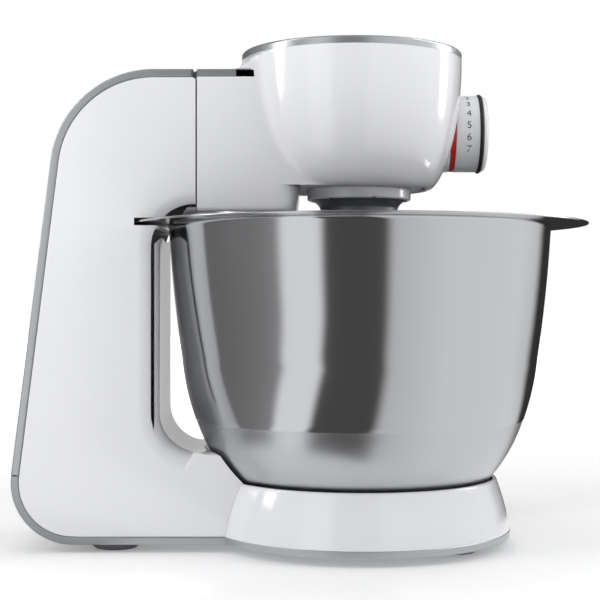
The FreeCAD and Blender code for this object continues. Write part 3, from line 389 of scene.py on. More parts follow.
def dressed(piece: bpy.types.Object, finish: Finish, body: Body, slot: str, *nodes: str) -> bpy.types.Object:
    """Gives a piece its finish, its body and the CAD nodes that it stands for.

    Args:
        piece: the new piece.
        finish: its surface.
        body: what it moves with.
        slot: a material slot's name; not used.
        nodes: CAD nodes that it replaces.

    Returns:
        The piece.
    """
    piece.data.materials.clear()
    piece.data.materials.append(finish.build())
    even = piece.modifiers.new("even_shading", "WEIGHTED_NORMAL")
    even.keep_sharp = True
    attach(piece, body.value)
    if nodes:
        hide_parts(*nodes)
    LOG.info("made %s on %s, %d faces", piece.name, body.value, len(piece.data.polygons))
    return piece


def block(name: str, low: tuple[float, float, float], high: tuple[float, float, float]) -> bpy.types.Object:
    """A plain cutter with flat sides between two corners in millimetres."""
    bm = bmesh.new()
    bmesh.ops.create_cube(bm, size=1.0)
    low_corner, high_corner = Vector(low) * MM, Vector(high) * MM
    bmesh.ops.scale(bm, vec=high_corner - low_corner, verts=bm.verts[:])
    bmesh.ops.translate(bm, vec=(low_corner + high_corner) / 2, verts=bm.verts[:])
    return finished(name, bm)


def rod(name: str, radius: float, start: tuple[float, float, float], end: tuple[float, float, float],
        segments: int = 96) -> bpy.types.Object:
    """A plain round cutter between two places in millimetres."""
    first, last = Vector(start) * MM, Vector(end) * MM
    bm = bmesh.new()
    bmesh.ops.create_cone(bm, cap_ends=True, segments=segments, radius1=radius * MM, radius2=radius * MM,
                          depth=(last - first).length)
    turn = Vector((0, 0, 1)).rotation_difference(last - first).to_matrix().to_4x4()
    bmesh.ops.transform(bm, matrix=Matrix.Translation((first + last) / 2) @ turn, verts=bm.verts[:])
    return finished(name, bm)


# ---------------------------------------------------------------- arm

Point = tuple[float, float]


def draped(bm: bmesh.types.BMesh, rings: list[tuple[list[Point], float]]) -> None:
    """Lays a grid over outlines that stand one above the other.

    Args:
        bm: the mesh.
        rings: outlines with equally many places in millimetres, each with its level.
    """
    count = len(rings[0][0])
    before = set(bm.verts)
    bmesh.ops.create_grid(bm, x_segments=count - 1, y_segments=len(rings) - 1, size=1.0)
    fresh = [vert for vert in bm.verts if vert not in before]
    fresh.sort(key=lambda vert: (round(vert.co.y, 5), vert.co.x))
    for number, vert in enumerate(fresh):
        points, level = rings[number // count]
        across, deep = points[number % count]
        vert.co = (across * MM, deep * MM, level * MM)


@dataclass
class Arm:
    """White arm housing: a neck that flows into the bowl-shaped head, with a short tower on top."""

    axis_x: float = 27.0
    top_radius: float = 63.15
    foot_radius: float = 44.1
    foot_level: float = 201.7
    top_level: float = 275.4
    rear: float = -59.2
    half_width: float = 41.95
    flow: float = 20.0
    keel_level: float = 187.0
    keel_front: float = -3.0
    deck_level: float = 260.7
    strip_top: float = 265.0
    strip_gap: float = 0.2
    wall: float = 2.4
    front_steps: int = 26
    flow_steps: int = 10
    side_steps: int = 10
    end_steps: int = 14
    corner_steps: int = 37
    tower_end: tuple[tuple[float, float, float], ...] = (
        (260.7, -39.5, 5.0), (265.0, -39.3, 5.0), (265.8, -38.3, 4.6), (266.8, -37.6, 4.2), (268.0, -37.2, 3.7),
        (269.4, -36.9, 3.2), (270.9, -36.7, 2.8), (272.5, -36.5, 2.5), (274.0, -36.3, 2.2), (275.4, -36.15, 2.0))

    def radius(self, level: float) -> float:
        """The head's radius at a level: nearly upright at the top, rounding in at the foot."""
        drop = min(max((self.top_level - level) / (self.top_level - self.foot_level), 0.0), 1.0)
        return self.foot_radius + (self.top_radius - self.foot_radius) * (1 - drop ** 2) ** 0.6

    def neck_half(self, level: float) -> list[Point]:
        """Half the outline of head and neck: round front, hollow flow, straight side, half the rear."""
        radius = self.radius(level)
        middle_y = self.half_width + self.flow
        middle_x = self.axis_x - math.sqrt((radius + self.flow) ** 2 - middle_y ** 2)
        meet = math.atan2(middle_y, middle_x - self.axis_x)
        points = [(self.axis_x + radius * math.cos(meet * step / self.front_steps),
                   radius * math.sin(meet * step / self.front_steps)) for step in range(self.front_steps + 1)]
        first = meet - math.pi
        for step in range(1, self.flow_steps + 1):
            turn = first + (-math.pi / 2 - first) * step / self.flow_steps
            points.append((middle_x + self.flow * math.cos(turn), middle_y + self.flow * math.sin(turn)))
        for step in range(1, self.side_steps + 1):
            points.append((middle_x + (self.rear - middle_x) * step / self.side_steps, self.half_width))
        for step in range(1, self.end_steps + 1):
            points.append((self.rear, self.half_width * (1 - step / self.end_steps)))
        return points

    def tower_half(self, level: float, end: float, power: float) -> list[Point]:
        """Half the outline of the tower at a level.

        Args:
            level: height.
            end: X of its rear end.
            power: how boxy its rear half is; 2 is round.

        Returns:
            As many points as the neck's half outline has.
        """
        outline = self.neck_half(level)
        reach = self.axis_x - end
        width = self.radius(level)
        points = []
        for across, deep in outline[:self.corner_steps]:
            inside = max(1 - (max(self.axis_x - across, 0.0) / reach) ** power, 0.0)
            points.append((across, min(deep, width * inside ** (1 / power))))
        corner_x, limit = points[-1]
        first = math.asin(((self.axis_x - corner_x) / reach) ** (power / 2))
        rest = len(outline) - self.corner_steps
        for step in range(1, rest + 1):
            turn = first + (math.pi / 2 - first) * step / rest
            across = self.axis_x - reach * math.sin(turn) ** (2 / power)
            deep = width * max(math.cos(turn), 0.0) ** (2 / power)
            points.append((across, min(deep, limit) if step < rest else 0.0))
        return points

    def keel_half(self, level: float) -> list[Point]:
        """Half the outline of the keel under the neck, with a rounded front."""
        outline = self.neck_half(self.foot_level)
        tuck = 1.5 * ((self.foot_level - level) / (self.foot_level - self.keel_level)) ** 2
        front, side = self.keel_front - tuck, self.half_width
        count = self.front_steps + self.flow_steps
        points = []
        for step in range(count + 1):
            turn = math.pi / 2 * step / count
            points.append((front - 14 * (1 - math.cos(turn) ** 0.6), side * math.sin(turn) ** 0.6 if step else 0.0))
        start = points[-1][0]
        for step in range(1, self.side_steps + 1):
            points.append((start + (self.rear - start) * step / self.side_steps, side))
        return points + outline[-self.end_steps:]

    def mirrored(self, bm: bmesh.types.BMesh) -> None:
        """Joins the mesh with its twin across the middle."""
        bmesh.ops.mirror(bm, geom=bm.verts[:] + bm.edges[:] + bm.faces[:], matrix=Matrix(), merge_dist=1e-5,
                         axis="Y")
        bmesh.ops.remove_doubles(bm, verts=bm.verts[:], dist=2e-5)
        loose = [edge for edge in bm.edges if not edge.link_faces]
        bmesh.ops.delete(bm, geom=loose, context="EDGES")

    def on_level(self, edge: bmesh.types.BMEdge, level: float) -> bool:
        """Whether an edge lies at a level."""
        return all(abs(vert.co.z - level * MM) < 1e-6 for vert in edge.verts)

    def skin(self) -> bpy.types.Object:
        """The outer skin, mirrored across the middle and given its wall."""
        bm = bmesh.new()
        levels = [self.foot_level + (self.deck_level - self.foot_level) * (step / 18) ** 1.6 for step in range(19)]
        rings = [(self.neck_half(level), level) for level in levels]
        rings += [(self.tower_half(level, end, power), level) for level, end, power in self.tower_end]
        draped(bm, rings)
        draped(bm, [(self.keel_half(level), level) for level in
                       (self.keel_level, self.keel_level + 4, self.keel_level + 9, self.foot_level)])
        rear = [face for face in bm.faces if face.calc_center_median().x < (self.rear + 0.01) * MM]
        bmesh.ops.delete(bm, geom=rear, context="FACES_ONLY")
        self.mirrored(bm)
        bottom = [edge for edge in bm.edges if edge.is_boundary and self.on_level(edge, self.keel_level)]
        ends = list({vert for edge in bottom for vert in edge.verts if abs(vert.co.x - self.rear * MM) < 1e-6})
        bottom.append(bm.edges.new(ends))
        bmesh.ops.contextual_create(bm, geom=bottom)
        bmesh.ops.recalc_face_normals(bm, faces=bm.faces[:])
        creases = [edge for edge in bm.edges if not edge.is_boundary and self.on_level(edge, self.keel_level)]
        bmesh.ops.bevel(bm, geom=creases, affect="EDGES", offset=2.2 * MM, segments=4, profile=0.5, material=-1)
        piece = finished("arm_housing", bm, 40)
        wall = piece.modifiers.new("wall", "SOLIDIFY")
        wall.thickness = self.wall * MM
        wall.offset = -1.0
        wall.use_rim = True
        return piece

    def strip(self) -> bpy.types.Object:
        """Satin strip over the neck, hollowed in front for the tower."""
        low_level = self.deck_level + 0.05
        outer = self.neck_half(low_level)[self.corner_steps - 1:]
        inner = self.tower_half(low_level, self.tower_end[0][1] - self.strip_gap, 5.0)[self.corner_steps - 1:]
        bm = bmesh.new()
        verts = [bm.verts.new((across * MM, deep * MM, low_level * MM)) for across, deep in
                 outer + [(across, -deep) for across, deep in outer[-2::-1]] +
                 [(across, -deep) for across, deep in inner[1:]] + inner[-2:0:-1]]
        bm.faces.new(verts)
        pulled = bmesh.ops.extrude_face_region(bm, geom=bm.faces[:])["geom"]
        bmesh.ops.translate(bm, vec=(0, 0, (self.strip_top - low_level) * MM),
                            verts=[item for item in pulled if isinstance(item, bmesh.types.BMVert)])
        closed_up(bm)
        rims = [edge for edge in bm.edges if self.on_level(edge, self.strip_top)
                and edge.calc_face_angle(0.0) > 0.9]
        bmesh.ops.bevel(bm, geom=rims, affect="EDGES", offset=0.6 * MM, segments=3, profile=0.5, material=-1,
                        clamp_overlap=True)
        return finished("arm_strip", bm)

    def build(self) -> None:
        """Makes the housing and its strip."""
        dial = rod("dial_room", 24.2, (84.6, 22.0, 236.8), (140, 22.0, 236.8))
        boss = rod("boss_room", 19.0, (45, 22.0, 236.8), (120, 22.0, 236.8))
        piece = carve(self.skin(), dial, boss)
        dressed(piece, WHITE_GLOSS, Body.ARM, "white_gloss", "arm_shell")
        knuckles = rod("knuckle_room", 3.0, (-59.6, -37.6, 262.6), (-59.6, 37.6, 262.6))
        strip = carve(self.strip(), knuckles)
        dressed(strip, SATIN_SILVER, Body.ARM, "satin_trim", "arm_deck_trim")


# ---------------------------------------------------------------- head's top and drive

@dataclass
class HeadTop:
    """Satin ring, white deck and the lid of the upper drive."""

    middle: Point = (27.0, 0.0)
    drive_x: float = 31.2
    ring_outer: float = 63.15
    ring_inner: float = 58.9
    ring_low: float = 275.45
    ring_high: float = 279.7
    deck_outer: float = 58.6
    deck_top: float = 278.5
    hole: float = 24.5
    lid_radius: float = 26.0
    lid_top: float = 279.4

    def ring(self) -> None:
        """The ring, with a soft outer shoulder and a thin bright inner edge."""
        outline = (Outline(self.ring_inner, self.ring_low).line(self.ring_outer, self.ring_low)
                   .line(self.ring_outer, self.ring_high - 1.5).arc(self.ring_outer - 1.5, self.ring_high, 1.5, -1, 6)
                   .line(self.ring_inner + 0.5, self.ring_high).line(self.ring_inner, self.ring_high - 0.5))
        piece = spun("head_ring", outline, Vector((self.middle[0] * MM, 0, 0)), segments=192)
        dressed(piece, SATIN_SILVER, Body.ARM, "satin_trim", "head_trim_ring")

    def deck(self) -> None:
        """The deck dips slightly from the ring to a raised collar round the lid."""
        outline = (Outline(self.hole, self.deck_top - 2.3).line(self.deck_outer, self.deck_top - 2.3)
                   .line(self.deck_outer, self.deck_top - 0.6).line(self.deck_outer - 0.6, self.deck_top)
                   .line(self.hole + 8, self.deck_top - 0.5).line(self.hole + 5, self.deck_top - 0.45)
                   .line(self.hole + 3.4, self.deck_top - 0.1).line(self.hole + 0.5, self.deck_top - 0.1)
                   .line(self.hole, self.deck_top - 0.6))
        piece = spun("head_deck_cover", outline, Vector((self.middle[0] * MM, 0, 0)), segments=160)
        hole = rod("deck_hole", self.hole + 0.4, (self.drive_x, 0, 270), (self.drive_x, 0, 290))
        carve(piece, hole)
        dressed(piece, WHITE_GLOSS, Body.ARM, "white_gloss", "head_deck")

    def lid(self) -> None:
        """Round lid with a finger dish and a row of grip notches."""
        top = self.lid_top
        outline = (Outline(0, top - 3.2).line(21.5, top - 3.2).line(21.5, top - 5.2).line(24, top - 5.2)
                   .line(24, top - 0.8).line(26, top - 0.8).line(26, top - 0.35).line(25.6, top)
                   .line(11, top).arc(0, top - 1.4, 60, -1, 8))
        piece = spun("drive_lid", outline, Vector((self.drive_x * MM, 0, 0)), segments=96)
        notches = [rod(f"notch_{number}", 1.1,
                       (self.drive_x + 21 * math.cos(turn), 21 * math.sin(turn), top - 0.45),
                       (self.drive_x + 21 * math.cos(turn), 21 * math.sin(turn), top + 2), 20)
                   for number, turn in enumerate(FULL_TURN * step / 24 for step in range(24))]
        carve(piece, *notches)
        dressed(piece, WHITE_GLOSS, Body.LID, "white_gloss", "drive_cover")

    def build(self) -> None:
        """Makes the three round pieces."""
        self.ring()
        self.deck()
        self.lid()


@dataclass
class Drive:
    """White collar and the grey turning hub below the head."""

    axis_x: float = 31.2
    spindle_x: float = 42.2
    collar_outer: float = 29.8
    collar_inner: float = 27.9
    collar_low: float = 195.5
    collar_high: float = 201.6
    hub_radius: float = 22.3
    hub_flare: float = 27.1
    hub_low: float = 172.0
    hub_high: float = 200.1
    post_x: float = 17.2
    post_y: float = 9.0
    post_radius: float = 3.15

    def build(self) -> None:
        """Makes the collar and the hub."""
        low = self.collar_low
        outline = (Outline(self.collar_inner, low + 0.5).line(self.collar_inner + 0.5, low)
                   .line(self.collar_outer - 1.2, low).arc(self.collar_outer, low + 1.2, 1.2, -1, 6)
                   .line(self.collar_outer, self.collar_high).line(self.collar_inner, self.collar_high))
        piece = spun("drive_ring", outline, Vector((self.axis_x * MM, 0, 0)), segments=144)
        slots = []
        for number, turn in enumerate((0.0, 1.3, 2.2, math.pi, -1.3, -2.2)):
            across, deep = self.axis_x + 29 * math.cos(turn), 29 * math.sin(turn)
            slots.append(rod(f"ring_slot_{number}", 1.2, (across - 1.5, deep, low), (across + 1.5, deep, low), 24))
        carve(piece, *slots)
        dressed(piece, WHITE_GLOSS, Body.ARM, "white_gloss", "drive_collar")
        self.hub()

    def hub(self) -> None:
        """The hub, with rounded foot, waist and flare, and the spindle's bore."""
        low, high = self.hub_low, self.hub_high
        outline = (Outline(0, low).line(self.hub_radius - 3, low).arc(self.hub_radius, low + 3, 3, -1, 8)
                   .line(self.hub_radius, self.collar_low - 4.6)
                   .arc(self.hub_flare, self.collar_low, 7.5, 1, 8).line(self.hub_flare, high).line(0, high))
        piece = spun("planet_hub", outline, Vector((self.axis_x * MM, 0, 0)), segments=144)
        bore = rod("spindle_bore", 7.2, (self.spindle_x, 0, low - 5), (self.spindle_x, 0, high + 5))
        carve(piece, bore)
        post_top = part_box("carrier_hub")[1][2] / MM
        for side in (-1, 1):
            foot = (self.post_x, side * self.post_y, high - 2)
            joined(piece, rod("hub_post", self.post_radius, foot, (self.post_x, side * self.post_y, post_top), 48))
        dressed(piece, DARK_HUB, Body.CARRIER, "dark_hub", "carrier_hub")


@dataclass
class SpeedDial:
    """Pale dial with printed steps, a black grip ring and a red ring; the white boss behind it keeps its measured
    mesh.
    """

    root_x: float = 84.9
    axis_y: float = 22.0
    axis_z: float = 236.8
    radius: float = 22.45
    length: float = 22.0
    ring_width: float = 2.6
    groove_low: float = 16.5
    groove_high: float = 19.0
    figure_height: float = 4.1
    figure_place: float = 10.2
    figures: tuple[tuple[str, float], ...] = (
        ("1", 80.0), ("2", 62.0), ("3", 44.0), ("4", 25.5), ("5", 7.0), ("6", -11.0), ("7", -29.0))

    @property
    def place(self) -> Vector:
        """Where the dial's axis meets its root."""
        return Vector((self.root_x, self.axis_y, self.axis_z)) * MM

    def body(self) -> None:
        """Hollow dial with a broad rounded cap."""
        radius, end = self.radius, self.length
        outline = (Outline(3.0, end - 1.6).line(3.0, 2.9).line(5.4, 2.9).line(5.4, end - 2.6)
                   .line(radius - 2.6, end - 2.6).line(radius - 2.6, 2.9).line(radius - 0.3, 2.9)
                   .line(radius, 3.2).line(radius, self.groove_low).line(radius - 1, self.groove_low)
                   .line(radius - 1, self.groove_high).line(radius, self.groove_high)
                   .arc(radius - 2.8, end - 0.3, 3.0, -1, 8).line(radius - 5, end).line(0, end).line(0, end - 1.6))
        piece = spun("dial", outline, self.place, Vector((1, 0, 0)), segments=144)
        dressed(piece, DIAL_WHITE, Body.KNOB, "white_gloss", "knob_body")

    def grip(self) -> None:
        """Black rubber ring with a rounded outer face."""
        low, high = self.groove_low, self.groove_high
        inner, outer = self.radius - 0.98, self.radius + 0.85
        outline = (Outline(inner, low + 0.05).line(outer - 0.9, low + 0.05)
                   .arc(outer - 0.9, high - 0.05, (high - low) / 2, -1, 8).line(inner, high - 0.05))
        piece = spun("dial_grip", outline, self.place, Vector((1, 0, 0)), segments=144)
        dressed(piece, RUBBER_BLACK, Body.KNOB, "grey_plastic", "knob_grip_ring")

    def red_ring(self) -> None:
        """Red ring at the dial's root, with its web to the spindle."""
        radius, low, high = self.radius - 0.15, 0.3, 0.3 + self.ring_width
        outline = (Outline(3.0, low + 1.4).line(3.0, low).line(radius - 0.25, low).line(radius, low + 0.25)
                   .line(radius, high - 0.3).line(radius - 0.3, high - 0.05).line(radius - 2.6, high - 0.05)
                   .line(radius - 2.6, low + 1.4))
        piece = spun("dial_red_ring", outline, self.place, Vector((1, 0, 0)), segments=144)
        dressed(piece, RED_PLASTIC, Body.KNOB, "red_plastic", "knob_red_ring")

    def printed(self) -> None:
        """The steps 1 to 7, printed round the dial and read from outside."""
        bm = bmesh.new()
        for text, degrees in self.figures:
            curve = bpy.data.curves.new("figure", "FONT")
            curve.body = text
            curve.size = self.figure_height * MM / 0.7
            curve.align_x, curve.align_y = "CENTER", "CENTER"
            curve.extrude = 0.02 * MM
            holder = bpy.data.objects.new("figure", curve)
            bpy.context.scene.collection.objects.link(holder)
            mesh = bpy.data.meshes.new_from_object(holder.evaluated_get(bpy.context.evaluated_depsgraph_get()))
            bpy.data.objects.remove(holder)
            bpy.data.curves.remove(curve)
            before = set(bm.verts)
            bm.from_mesh(mesh)
            bpy.data.meshes.remove(mesh)
            fresh = [vert for vert in bm.verts if vert not in before]
            turn = math.radians(degrees)
            stand = Matrix.Rotation(math.pi / 2, 4, "X")
            around = Matrix.Rotation(-turn, 4, "X")
            lift = Matrix.Translation(Vector((0, -(self.radius + 0.02) * MM, 0)))
            matrix = Matrix.Translation(self.place + Vector((self.figure_place * MM, 0, 0))) @ around @ lift @ stand
            bmesh.ops.transform(bm, matrix=matrix, verts=fresh)
        for vert in bm.verts:
            arm = Vector((0, vert.co.y - self.place.y, vert.co.z - self.place.z))
            reach = min(max(arm.length, self.radius * MM - 0.00002), self.radius * MM + 0.00006)
            vert.co = Vector((vert.co.x, self.place.y, self.place.z)) + arm.normalized() * reach
        bmesh.ops.remove_doubles(bm, verts=bm.verts[:], dist=1e-7)
        piece = finished("dial_figures", bm)
        dressed(piece, DIAL_INK, Body.KNOB, "black_plastic")

    def build(self) -> None:
        """Makes the dial's pieces."""
        self.body()
        self.grip()
        self.red_ring()
        self.printed()


# ---------------------------------------------------------------- stand

def cheek(bm: bmesh.types.BMesh, outline: Outline, half: float) -> None:
    """Fills a side outline and pulls it across the stand's width.

    Args:
        bm: the mesh.
        outline: X and Z in millimetres.
        half: half the width in millimetres.
    """
    verts = [bm.verts.new((across * MM, -half * MM, level * MM)) for across, level in outline.points]
    face = bm.faces.new(verts)
    pulled = bmesh.ops.extrude_face_region(bm, geom=[face])["geom"]
    bmesh.ops.translate(bm, vec=(0, 2 * half * MM, 0), verts=[item for item in pulled
                                                             if isinstance(item, bmesh.types.BMVert)])
    bmesh.ops.recalc_face_normals(bm, faces=bm.faces[:])


def side_edges(bm: bmesh.types.BMesh, half: float) -> list[bmesh.types.BMEdge]:
    """The long outlines of both cheeks."""
    return [edge for edge in bm.edges if abs(edge.verts[0].co.y - edge.verts[1].co.y) < 1e-6
            and abs(abs(edge.verts[0].co.y) - half * MM) < 1e-6 and edge.calc_face_angle(0.0) > 0.8]


@dataclass
class Stand:
    """Column with its foot bar, the satin band over its back and the grey tray under it."""

    half_width: float = 42.0
    seam_x: float = -60.0
    front_x: float = -80.5
    axis_x: float = 31.2
    low: float = 187.0
    bar_top: float = 54.5
    toe: float = 22.0
    lip: float = 19.75
    heel: Point = (-127.3, 38.5)
    heel_radius: float = 34.0
    crown: Point = (-82.91, 208.0)
    crown_radius: float = 57.0
    top: float = 265.0
    floor: float = 4.5
    trim: float = 4.3
    gap: float = 0.25
    wall: float = 2.4
    round_front: float = 11.0
    lean: float = 7.13
    tray_break: float = 42.4

    def back(self, centre: Point, radius: float) -> Point:
        """Where an arc about a corner's centre meets the leaning back."""
        lean = math.radians(self.lean)
        return centre[0] - radius * math.cos(lean), centre[1] + radius * math.sin(lean)

    def outline(self, inset: float) -> Outline:
        """The white panel's outline, moved in from the back, the top and the floor."""
        heel, crown = self.heel_radius - inset, self.crown_radius - inset
        path = Outline(self.seam_x, self.low).line(self.seam_x, self.top - inset)
        path.line(self.crown[0], self.top - inset).arc(*self.back(self.crown, crown), crown, -1, 24)
        path.line(*self.back(self.heel, heel)).arc(self.heel[0], self.floor + inset, heel, -1, 20)
        path.line(self.axis_x, self.floor + inset).line(self.axis_x, self.bar_top)
        path.line(self.front_x + self.toe, self.bar_top).arc(self.front_x, self.bar_top + self.toe, self.toe, 1, 14)
        path.line(self.front_x, self.low - self.lip).arc(self.front_x + self.lip, self.low, self.lip, 1, 12)
        return path

    def panel(self) -> None:
        """The hollow white column."""
        bm = bmesh.new()
        cheek(bm, self.outline(self.trim + self.gap), self.half_width)
        front = [edge for edge in side_edges(bm, self.half_width) if self.is_front(edge)]
        bmesh.ops.bevel(bm, geom=front, affect="EDGES", offset=self.round_front * MM, segments=10, profile=0.5,
                        material=-1, clamp_overlap=False)
        rims = [edge for edge in side_edges(bm, self.half_width) if not self.is_front(edge)
                and edge.verts[0].co.x + edge.verts[1].co.x < 2 * (self.seam_x - 0.01) * MM]
        bmesh.ops.bevel(bm, geom=rims, affect="EDGES", offset=0.8 * MM, segments=3, profile=0.5, material=-1,
                        clamp_overlap=True)
        piece = finished("column", bm)
        dish = BowlDish()
        cutters = [
            dish.cutter("dish_room", 0.15),
            Bowl().cutter("bowl_room", 3.1),
            rod("rim_room", 131.7, (self.axis_x, 0, 179.4), (self.axis_x, 0, 183.6), 192),
            self.cavity(),
            rod("button_room", 9.25, (-134.5, 20, 78), (-134.5, 60, 78)),
            rod("gland_room", 6.4, (-128.0, 30, 27), (-128.0, 60, 27)),
            block("hinge_room", (-86, -37.6, 255.5), (-50, 37.6, 262)),
            rod("pin_room", 3.05, (-59.6, -60, 262.6), (-59.6, 60, 262.6)),
        ]
        carve(piece, *cutters)
        dressed(piece, WHITE_GLOSS, Body.STAND, "white_gloss", "column_shell_left", "column_shell_right")

    def is_front(self, edge: bmesh.types.BMEdge) -> bool:
        """Whether an edge belongs to the hand-side front of the column, between seam and bar."""
        middle = (edge.verts[0].co + edge.verts[1].co) / 2 / MM
        return self.front_x - 0.5 < middle.x < self.axis_x - 1 and self.bar_top - 0.5 < middle.z < self.low + 0.5 \
            and middle.x < self.seam_x + 0.01 or abs(middle.z - self.bar_top) < 0.01

    def cavity(self) -> bpy.types.Object:
        """The room inside the column, open towards the arm."""
        bm = bmesh.new()
        inset = self.trim + self.gap + self.wall
        path = Outline(self.seam_x + 5, self.low + self.wall).line(self.seam_x + 5, self.top - inset)
        path.line(self.crown[0], self.top - inset)
        path.arc(*self.back(self.crown, self.crown_radius - inset), self.crown_radius - inset, -1, 24)
        path.line(*self.back(self.heel, self.heel_radius - inset))
        path.arc(self.heel[0], self.floor + inset, self.heel_radius - inset, -1, 20)
        path.line(self.front_x - self.wall, self.floor + inset)
        path.line(self.front_x - self.wall, self.low - self.lip + 2)
        path.line(self.front_x + self.lip - 4, self.low + self.wall)
        cheek(bm, path, self.half_width - self.wall)
        return finished("cavity", bm)

    def band(self) -> None:
        """Satin trim up the back and over the top."""
        inner = self.trim
        path = Outline(self.seam_x, self.top - inner).line(self.seam_x, self.top)
        path.line(self.crown[0], self.top).arc(*self.back(self.crown, self.crown_radius), self.crown_radius, -1, 28)
        low_outer = self.back(self.heel, self.heel_radius)
        low_inner = self.back(self.heel, self.heel_radius - inner)
        path.line(*low_outer).line(*low_inner)
        path.line(*self.back(self.crown, self.crown_radius - inner))
        path.arc(self.crown[0], self.top - inner, self.crown_radius - inner, 1, 28)
        bm = bmesh.new()
        cheek(bm, path, self.half_width)
        bmesh.ops.bevel(bm, geom=side_edges(bm, self.half_width), affect="EDGES", offset=0.7 * MM, segments=3,
                        profile=0.5, material=-1, clamp_overlap=True)
        piece = finished("satin_band", bm)
        carve(piece, rod("pin_room", 3.05, (-59.6, -60, 262.6), (-59.6, 60, 262.6)))
        dressed(piece, SATIN_SILVER, Body.STAND, "satin_trim", "back_band")

    def tray(self) -> None:
        """Grey tray: the bar's floor, the heel that curls up the back and the disc under the dish."""
        outer_low = self.back(self.heel, self.heel_radius)
        inner_low = self.back(self.heel, self.heel_radius - self.trim)
        path = Outline(outer_low[0], outer_low[1] - 0.6).arc(self.heel[0], self.floor, self.heel_radius, -1, 24)
        path.line(self.axis_x, self.floor).line(self.axis_x, self.floor + self.trim)
        path.line(self.heel[0], self.floor + self.trim)
        path.arc(inner_low[0], outer_low[1] - 0.6, self.heel_radius - self.trim, 1, 24)
        bm = bmesh.new()
        cheek(bm, path, self.half_width)
        edges = [edge for edge in side_edges(bm, self.half_width)
                 if (edge.verts[0].co.x + edge.verts[1].co.x) / 2 < self.axis_x * MM - 0.001]
        bmesh.ops.bevel(bm, geom=edges, affect="EDGES", offset=0.7 * MM, segments=3, profile=0.5, material=-1,
                        clamp_overlap=True)
        bar = finished("tray_bar", bm)
        disc = (Outline(0, self.floor).line(85.4, self.floor).arc(86.1, self.floor + 0.7, 0.7, -1, 5)
                .line(86.1, self.floor + self.trim - 0.4).line(85.7, self.floor + self.trim)
                .line(0, self.floor + self.trim))
        whole = spun("base_tray", disc, Vector((self.axis_x * MM, 0, 0)), segments=192)
        joined(whole, bar)
        screws = [rod(f"screw_room_{number}", 2.3, (across, deep, 0), (across, deep, 12), 32)
                  for number, (across, deep) in enumerate(((-80, -24), (-80, 24), (-8.8, -52), (-8.8, 52)))]
        carve(whole, *screws)
        dressed(whole, TRAY_SILVER, Body.STAND, "grey_tray", "bottom_tray")

    def build(self) -> None:
        """Makes the stand's outer pieces."""
        self.panel()
        self.band()
        self.tray()
        self.feet()

    def feet(self) -> None:
        """Four rubber feet with a sucker lip."""
        names = {"foot_rear_left": (-106, -22), "foot_rear_right": (-106, 22),
                 "foot_front_left": (82, -36), "foot_front_right": (82, 36)}
        for name, (across, deep) in names.items():
            outline = (Outline(0, 0.5).line(6, 0.5).line(8, 0).line(11.2, 0).arc(11.8, 0.5, 0.6, -1, 4)
                       .arc(15.9, 4.4, 14, -1, 8).line(15.4, 4.5).line(0, 4.5))
            piece = spun(name.replace("foot", "rubber_foot"), outline, Vector((across, deep, 0)) * MM, segments=64)
            dressed(piece, RUBBER_GREY, Body.STAND, "grey_rubber", name)


def joined(piece: bpy.types.Object, other: bpy.types.Object) -> None:
    """Makes one solid of two pieces and deletes the second."""
    step = piece.modifiers.new("join", "BOOLEAN")
    step.object = other
    step.operation = "UNION"
    step.solver = "EXACT"
    mesh = bpy.data.meshes.new_from_object(piece.evaluated_get(bpy.context.evaluated_depsgraph_get()))
    piece.modifiers.clear()
    piece.data = mesh
    mesh.shade_smooth()
    mesh.set_sharp_from_angle(angle=math.radians(32))
    bpy.data.objects.remove(other)


@dataclass
class BowlDish:
    """White dish that the bowl stands in."""

    axis_x: float = 31.2
    low_radius: float = 85.8
    top_radius: float = 78.8
    low: float = 8.8
    top: float = 37.8
    inner: float = 76.6
    floor_top: float = 15.4
    floor_under: float = 13.0

    def cutter(self, name: str, grow: float) -> bpy.types.Object:
        """The dish's outside as a solid, grown by a clearance."""
        outline = (Outline(0, 0).line(self.low_radius + grow, 0).line(self.low_radius + grow, self.low)
                   .arc(self.top_radius + grow, self.top - 1.8, 118, -1, 12)
                   .arc(self.top_radius - 1.4, self.top + grow, 1.9 + grow, -1, 6).line(0, self.top + grow))
        return spun(name, outline, Vector((self.axis_x * MM, 0, 0)), segments=192)

    def build(self) -> None:
        """Makes the dish with its rolled rim and floor."""
        top = self.top
        outline = (Outline(0, self.floor_under).line(self.low_radius - 7, self.floor_under)
                   .line(self.low_radius - 7, self.low).line(self.low_radius, self.low)
                   .arc(self.top_radius, top - 1.8, 118, -1, 16).arc(self.top_radius - 1.4, top, 1.9, -1, 8)
                   .line(self.inner + 0.6, top).arc(self.inner, top - 0.6, 0.6, 1, 4)
                   .line(self.inner, self.floor_top + 3).arc(self.inner - 3, self.floor_top, 3, 1, 6)
                   .line(0, self.floor_top))
        piece = spun("dish", outline, Vector((self.axis_x * MM, 0, 0)), segments=192)
        screws = [rod(f"dish_screw_{number}", 2.05, (-8.8, deep, 8), (-8.8, deep, 15), 32)
                  for number, deep in enumerate((-52, 52))]
        carve(piece, *screws)
        dressed(piece, WHITE_GLOSS, Body.STAND, "white_gloss", "bowl_dish")


